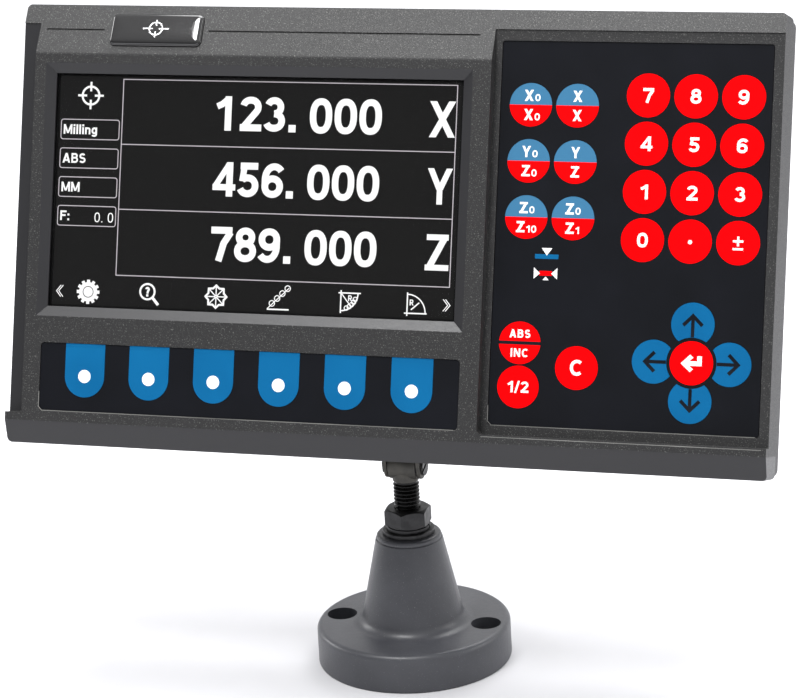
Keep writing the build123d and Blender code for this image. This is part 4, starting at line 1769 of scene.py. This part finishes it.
@dataclass
class Case:
    """Bezel, rear cover, badge, overlays and the boards inside."""

    panel: PanelFrame
    palette: Palette
    badge: Tuple[float, float, float] = (36.1, 12.5, 1.9)
    lip: Tuple[float, float, float] = (41.2, 144.6, 11.05)
    dome: Tuple[Point, ...] = ((0.0, -0.1), (0.0, 0.12), (0.15, 0.36), (0.45, 0.58), (0.95, 0.76),
                               (1.6, 0.86), (2.6, 0.92), (4.0, 0.95))
    back: float = 60.0
    flange: float = 66.0
    first_socket: float = 14.0
    socket_pitch: float = 38.0

    def build(self) -> int:
        """Dress the case and add its trims.

        Returns:
            How many pieces were made.
        """
        paints = {
            "front_bezel": self.palette.bezel,
            "rear_cover": self.palette.cover,
            "cover_screws": self.palette.steel,
            "badge": self.palette.badge,
            "lcd_window": self.palette.glass,
            "lcd_module": self.palette.lcd_frame,
            "softkey_overlay": self.palette.membrane,
            "keypad_overlay": self.palette.membrane,
            "softkey_board": self.palette.board,
            "keypad_board": self.palette.board,
            "main_board": self.palette.board,
            "ribbon_cables": self.palette.ribbon,
            "power_inlet": self.palette.socket,
            "power_rocker": self.palette.socket,
            "encoder_sockets": self.palette.shell,
        }
        for node, paint in paints.items():
            dress(node, paint)
        rounding = {"front_bezel": 0.45, "rear_cover": 0.5, "badge": 0.5, "power_rocker": 0.3}
        for node, width in rounding.items():
            soften(node, width)
        self.badge_dome()
        self.paint_rim_highlights()
        self.sockets()
        LOG.info("case: %d nodes dressed", len(paints))
        return 8

    def paint_rim_highlights(self) -> None:
        """Add painted highlights: light strips along the lower rims of the two pockets and of the lip."""
        for name in ("keypad", "softkey"):
            left, right, low, _ = self.panel.span(name + "_overlay")
            depth = self.panel.front_of(name + "_overlay") - FILM_SUNK
            # painted highlight: a light strip along the pocket's left and lower rim
            rim = Canvas(name + "_painted_highlight", self.panel.matrix(0, 0, depth), 0.02)
            line = [(left - 0.2, low + 7.0), (left - 0.2, low + 1.2), (left + 1.2, low - 0.2),
                    (right - 1.2, low - 0.2)]
            rim.band(line, 0.26)
            rim.finish("head", self.palette.rim_highlight_paint, "bezel_plastic")
        # painted highlight: a light strip along the top edge of the lip
        lip = Canvas("lip_painted_highlight", self.panel.matrix(0, 0, 0), 0.02)
        lip.bar((self.lip[0], self.lip[2]), (self.lip[1], self.lip[2]), 0.3)
        lip.finish("head", self.palette.rim_highlight_paint, "bezel_plastic")

    def badge_dome(self) -> None:
        """Build the dark glossy dome over the badge and print a plain ring and cross on its top."""
        middle, normal = broad_face("badge")
        right = Vector((1, 0, 0))
        turned = Matrix((right, normal.cross(right), normal)).transposed().to_4x4()
        place = Matrix.Translation(middle) @ turned
        wide, high, corner = self.badge
        mesh = bmesh.new()
        rings = []
        for inset, rise in self.dome:
            outline = rounded(0, 0, wide - 2 * inset, high - 2 * inset, max(corner - inset, 0.3))
            rings.append([mesh.verts.new(place @ (Vector((x, y, rise)) * MM)) for x, y in outline])
        for lower, upper in zip(rings, rings[1:]):
            for index in range(len(lower)):
                after = (index + 1) % len(lower)
                mesh.faces.new((lower[index], lower[after], upper[after], upper[index]))
        mesh.faces.new(rings[-1])
        mesh.faces.new(list(reversed(rings[0])))
        data = bpy.data.meshes.new("badge_dome")
        mesh.to_mesh(data)
        mesh.free()
        for face in data.polygons:
            face.use_smooth = True
        data.materials.append(self.palette.badge)
        dome = place_object("badge_dome", data)
        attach(dome, "head")
        top = Matrix.Translation(normal * (self.dome[-1][1] * MM)) @ place
        mark = Canvas("badge_mark", top, 0.03)
        mark.ring(0, 0, 2.6, 0.45)
        for way in (-1, 1):
            mark.bar((way * 1.2, 0), (way * 5.2, 0), 0.45)
            mark.bar((0, way * 1.2), (0, way * 3.6), 0.45)
        mark.finish("head", self.palette.silver, "badge_gloss")

    def sockets(self) -> None:
        """Add the contacts and the letters round the rear sockets."""
        letters = Canvas("socket_letters", self.panel.matrix(0, 0, self.back - INK_LIFT, True), 0.03)
        faces = Canvas("socket_faces", self.panel.matrix(0, 0, self.flange - INK_LIFT, True), 0.06)
        contacts = Canvas("socket_contacts", self.panel.matrix(0, 0, self.flange + 0.05, True), 0.05)
        for number, axis in enumerate("XYZ"):
            x = -(self.first_socket + number * self.socket_pitch)
            letters.text(axis, x, 57.0, 4.2, 0.17, 1.15)
            faces.polygon([(x - 7.4, 49.3), (x + 7.4, 49.3), (x + 6.2, 42.7), (x - 6.2, 42.7)])
            for row, count in ((47.5, 5), (44.5, 4)):
                for place in range(count):
                    contacts.ring(x + (place - (count - 1) / 2) * 2.75, row, 0.62, 0.34)
        letters.bar((76.0, 62.6), (76.0, 65.6), 0.5)
        letters.ring(76.0, 27.4, 1.25, 0.42)
        self.rating(letters)
        letters.finish("head", self.palette.ink_grey, "cover_plastic")
        faces.finish("head", self.palette.socket, "socket_black")
        contacts.finish("head", self.palette.brass, "socket_shell")

    def rating(self, ink: Canvas) -> None:
        """Print the outline of a plain rating field with its symbols.

        Args:
            ink: The canvas on the back of the cover.
        """
        x, y = -72.0, 104.0
        ink.band(rounded(x, y, 56.0, 26.0, 2.0), 0.35, True)
        for row in (110.8, 97.2):
            ink.bar((x - 25.0, row), (x + 25.0, row), 0.25)
        ink.text("X Y Z", x - 24.0, 114.0, 2.6, 0.17, 1.1, "LEFT")
        ink.text("100 ... 240", x - 24.0, 106.6, 2.6, 0.15, 1.1, "LEFT")
        ink.text("50 / 60", x - 24.0, 101.4, 2.6, 0.15, 1.1, "LEFT")
        ink.ring(x + 21.0, 104.0, 2.4, 0.4)
        ink.bar((x + 19.4, 104.0), (x + 22.6, 104.0), 0.4)
        ink.bar((x + 21.0, 102.4), (x + 21.0, 105.6), 0.4)


@dataclass
class Stand:
    """Foot, stem, nuts and the tilt bracket."""

    palette: Palette

    def build(self) -> int:
        """Dress the stand.

        Returns:
            How many pieces were made.
        """
        steel = ("top_lock_nut", "spring_washer", "flat_washer", "lower_nut", "lower_washer", "pivot_screw",
                 "pivot_nut", "bracket_screws")
        for node in steel:
            dress(node, self.palette.steel)
        dress("threaded_stud", self.palette.stud)
        dress("pedestal_base", self.palette.foot)
        dress("knuckle_eye", self.palette.bracket)
        dress("tilt_bracket", self.palette.bracket)
        dress("friction_washers", self.palette.nylon)
        for node, width in (("top_lock_nut", 0.25), ("flat_washer", 0.3), ("spring_washer", 0.25),
                            ("knuckle_eye", 0.5), ("tilt_bracket", 0.3), ("pivot_screw", 0.25)):
            soften(node, width)
        LOG.info("stand: %d nodes dressed", len(steel) + 5)
        return 0


# ---------------------------------------------------------------- studio
@dataclass(frozen=True)
class AreaLight:
    """One soft light."""

    name: str
    place: Tuple[float, float, float]
    aim: Tuple[float, float, float]
    size: float
    power: float

    def build(self) -> None:
        """Add the light."""
        data = bpy.data.lights.new(self.name, "AREA")
        data.shape = "DISK"
        data.size = self.size
        data.energy = self.power
        lamp = place_object(self.name, data)
        lamp.location = self.place
        way = Vector(self.aim) - Vector(self.place)
        lamp.rotation_euler = way.to_track_quat("-Z", "Y").to_euler()


@dataclass
class Studio:
    """Camera, floor, lights and surroundings."""

    place: Tuple[float, float, float] = (0.34797, -1.11222, 0.51185)
    right: Tuple[float, float, float] = (0.958, 0.281, -0.053)
    ahead: Tuple[float, float, float] = (-0.283, 0.906, -0.315)
    lens: float = 146.54
    floor_size: float = 12.0

    def camera(self) -> None:
        """Set the camera in front of the console, a little to the right and above."""
        data = bpy.data.cameras.new("camera")
        data.lens = self.lens
        data.sensor_width = 36.0
        data.clip_start = 0.05
        data.clip_end = 30.0
        data.dof.use_dof = False
        camera = place_object("camera", data)
        ahead = Vector(self.ahead).normalized()
        right = Vector(self.right)
        right = (right - ahead * right.dot(ahead)).normalized()
        up = right.cross(ahead)
        turned = Matrix((right, up, -ahead)).transposed().to_4x4()
        camera.matrix_world = Matrix.Translation(self.place) @ turned
        bpy.context.scene.camera = camera

    def floor(self) -> None:
        """Lay the pale floor."""
        bpy.ops.mesh.primitive_plane_add(size=self.floor_size, location=(0, 0, 0))
        plane = bpy.context.object
        plane.name = "studio_floor"
        white = Film("floor_white", srgb(198, 198, 201), srgb(200, 200, 203), 0.8, 0.1).build()
        plane.data.materials.append(white)
        plane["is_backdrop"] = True

    def lights(self) -> None:
        """Add the soft lights and the white surroundings."""
        for light in (
            AreaLight("top_light", (0.12, 0.48, 1.6), (0.0, 0.0, 0.15), 1.5, 42.0),
            AreaLight("key_light", (-0.26, -0.62, 1.55), (0.0, 0.0, 0.15), 0.45, 16.0),
            AreaLight("right_light", (1.6, 0.3, 0.8), (0.0, 0.0, 0.15), 0.9, 8.0),
            AreaLight("left_light", (-1.5, 0.3, 0.7), (0.0, 0.0, 0.12), 0.8, 11.0),
        ):
            light.build()
        world = bpy.data.worlds.new("studio_world")
        world.use_nodes = True
        tree = world.node_tree
        back = tree.nodes["Background"]
        place = tree.nodes.new("ShaderNodeTexCoord")
        dot = tree.nodes.new("ShaderNodeVectorMath")
        dot.operation = "DOT_PRODUCT"
        dot.inputs[1].default_value = Vector((0.35, 0.30, 0.89)).normalized()
        spread = tree.nodes.new("ShaderNodeMapRange")
        for key, value in (("From Min", -0.3), ("From Max", 1.0), ("To Min", 0.22), ("To Max", 1.3)):
            spread.inputs[key].default_value = value
        tree.links.new(place.outputs["Generated"], dot.inputs[0])
        tree.links.new(dot.outputs["Value"], spread.inputs["Value"])
        tree.links.new(spread.outputs["Result"], back.inputs["Strength"])
        back.inputs["Color"].default_value = (1.0, 1.0, 1.0, 1.0)
        bpy.context.scene.world = world
        view = bpy.context.scene.view_settings
        view.view_transform = "Standard"
        view.look = "None"

    def build(self) -> None:
        """Set up the whole studio."""
        self.camera()
        self.floor()
        self.lights()
        LOG.info("studio: camera, floor and lights")


def main(before: Iterable[Vector]) -> None:
    """Build the looks.

    Args:
        before: The CAD box; not used.
    """
    logging.basicConfig(level=logging.INFO, format="%(name)s: %(message)s")
    Studio().build()
    panel = PanelFrame(joint_place("head_tilt"))
    palette = Palette(panel)
    sections = [Stand(palette), Case(panel, palette), Screen(panel, palette), Softkeys(panel, palette),
                Keypad(panel, palette)]
    total = sum(section.build() for section in sections)
    LOG.info("pieces added: %d", total)
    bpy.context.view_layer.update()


if __name__ == "__main__":
    main(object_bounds())
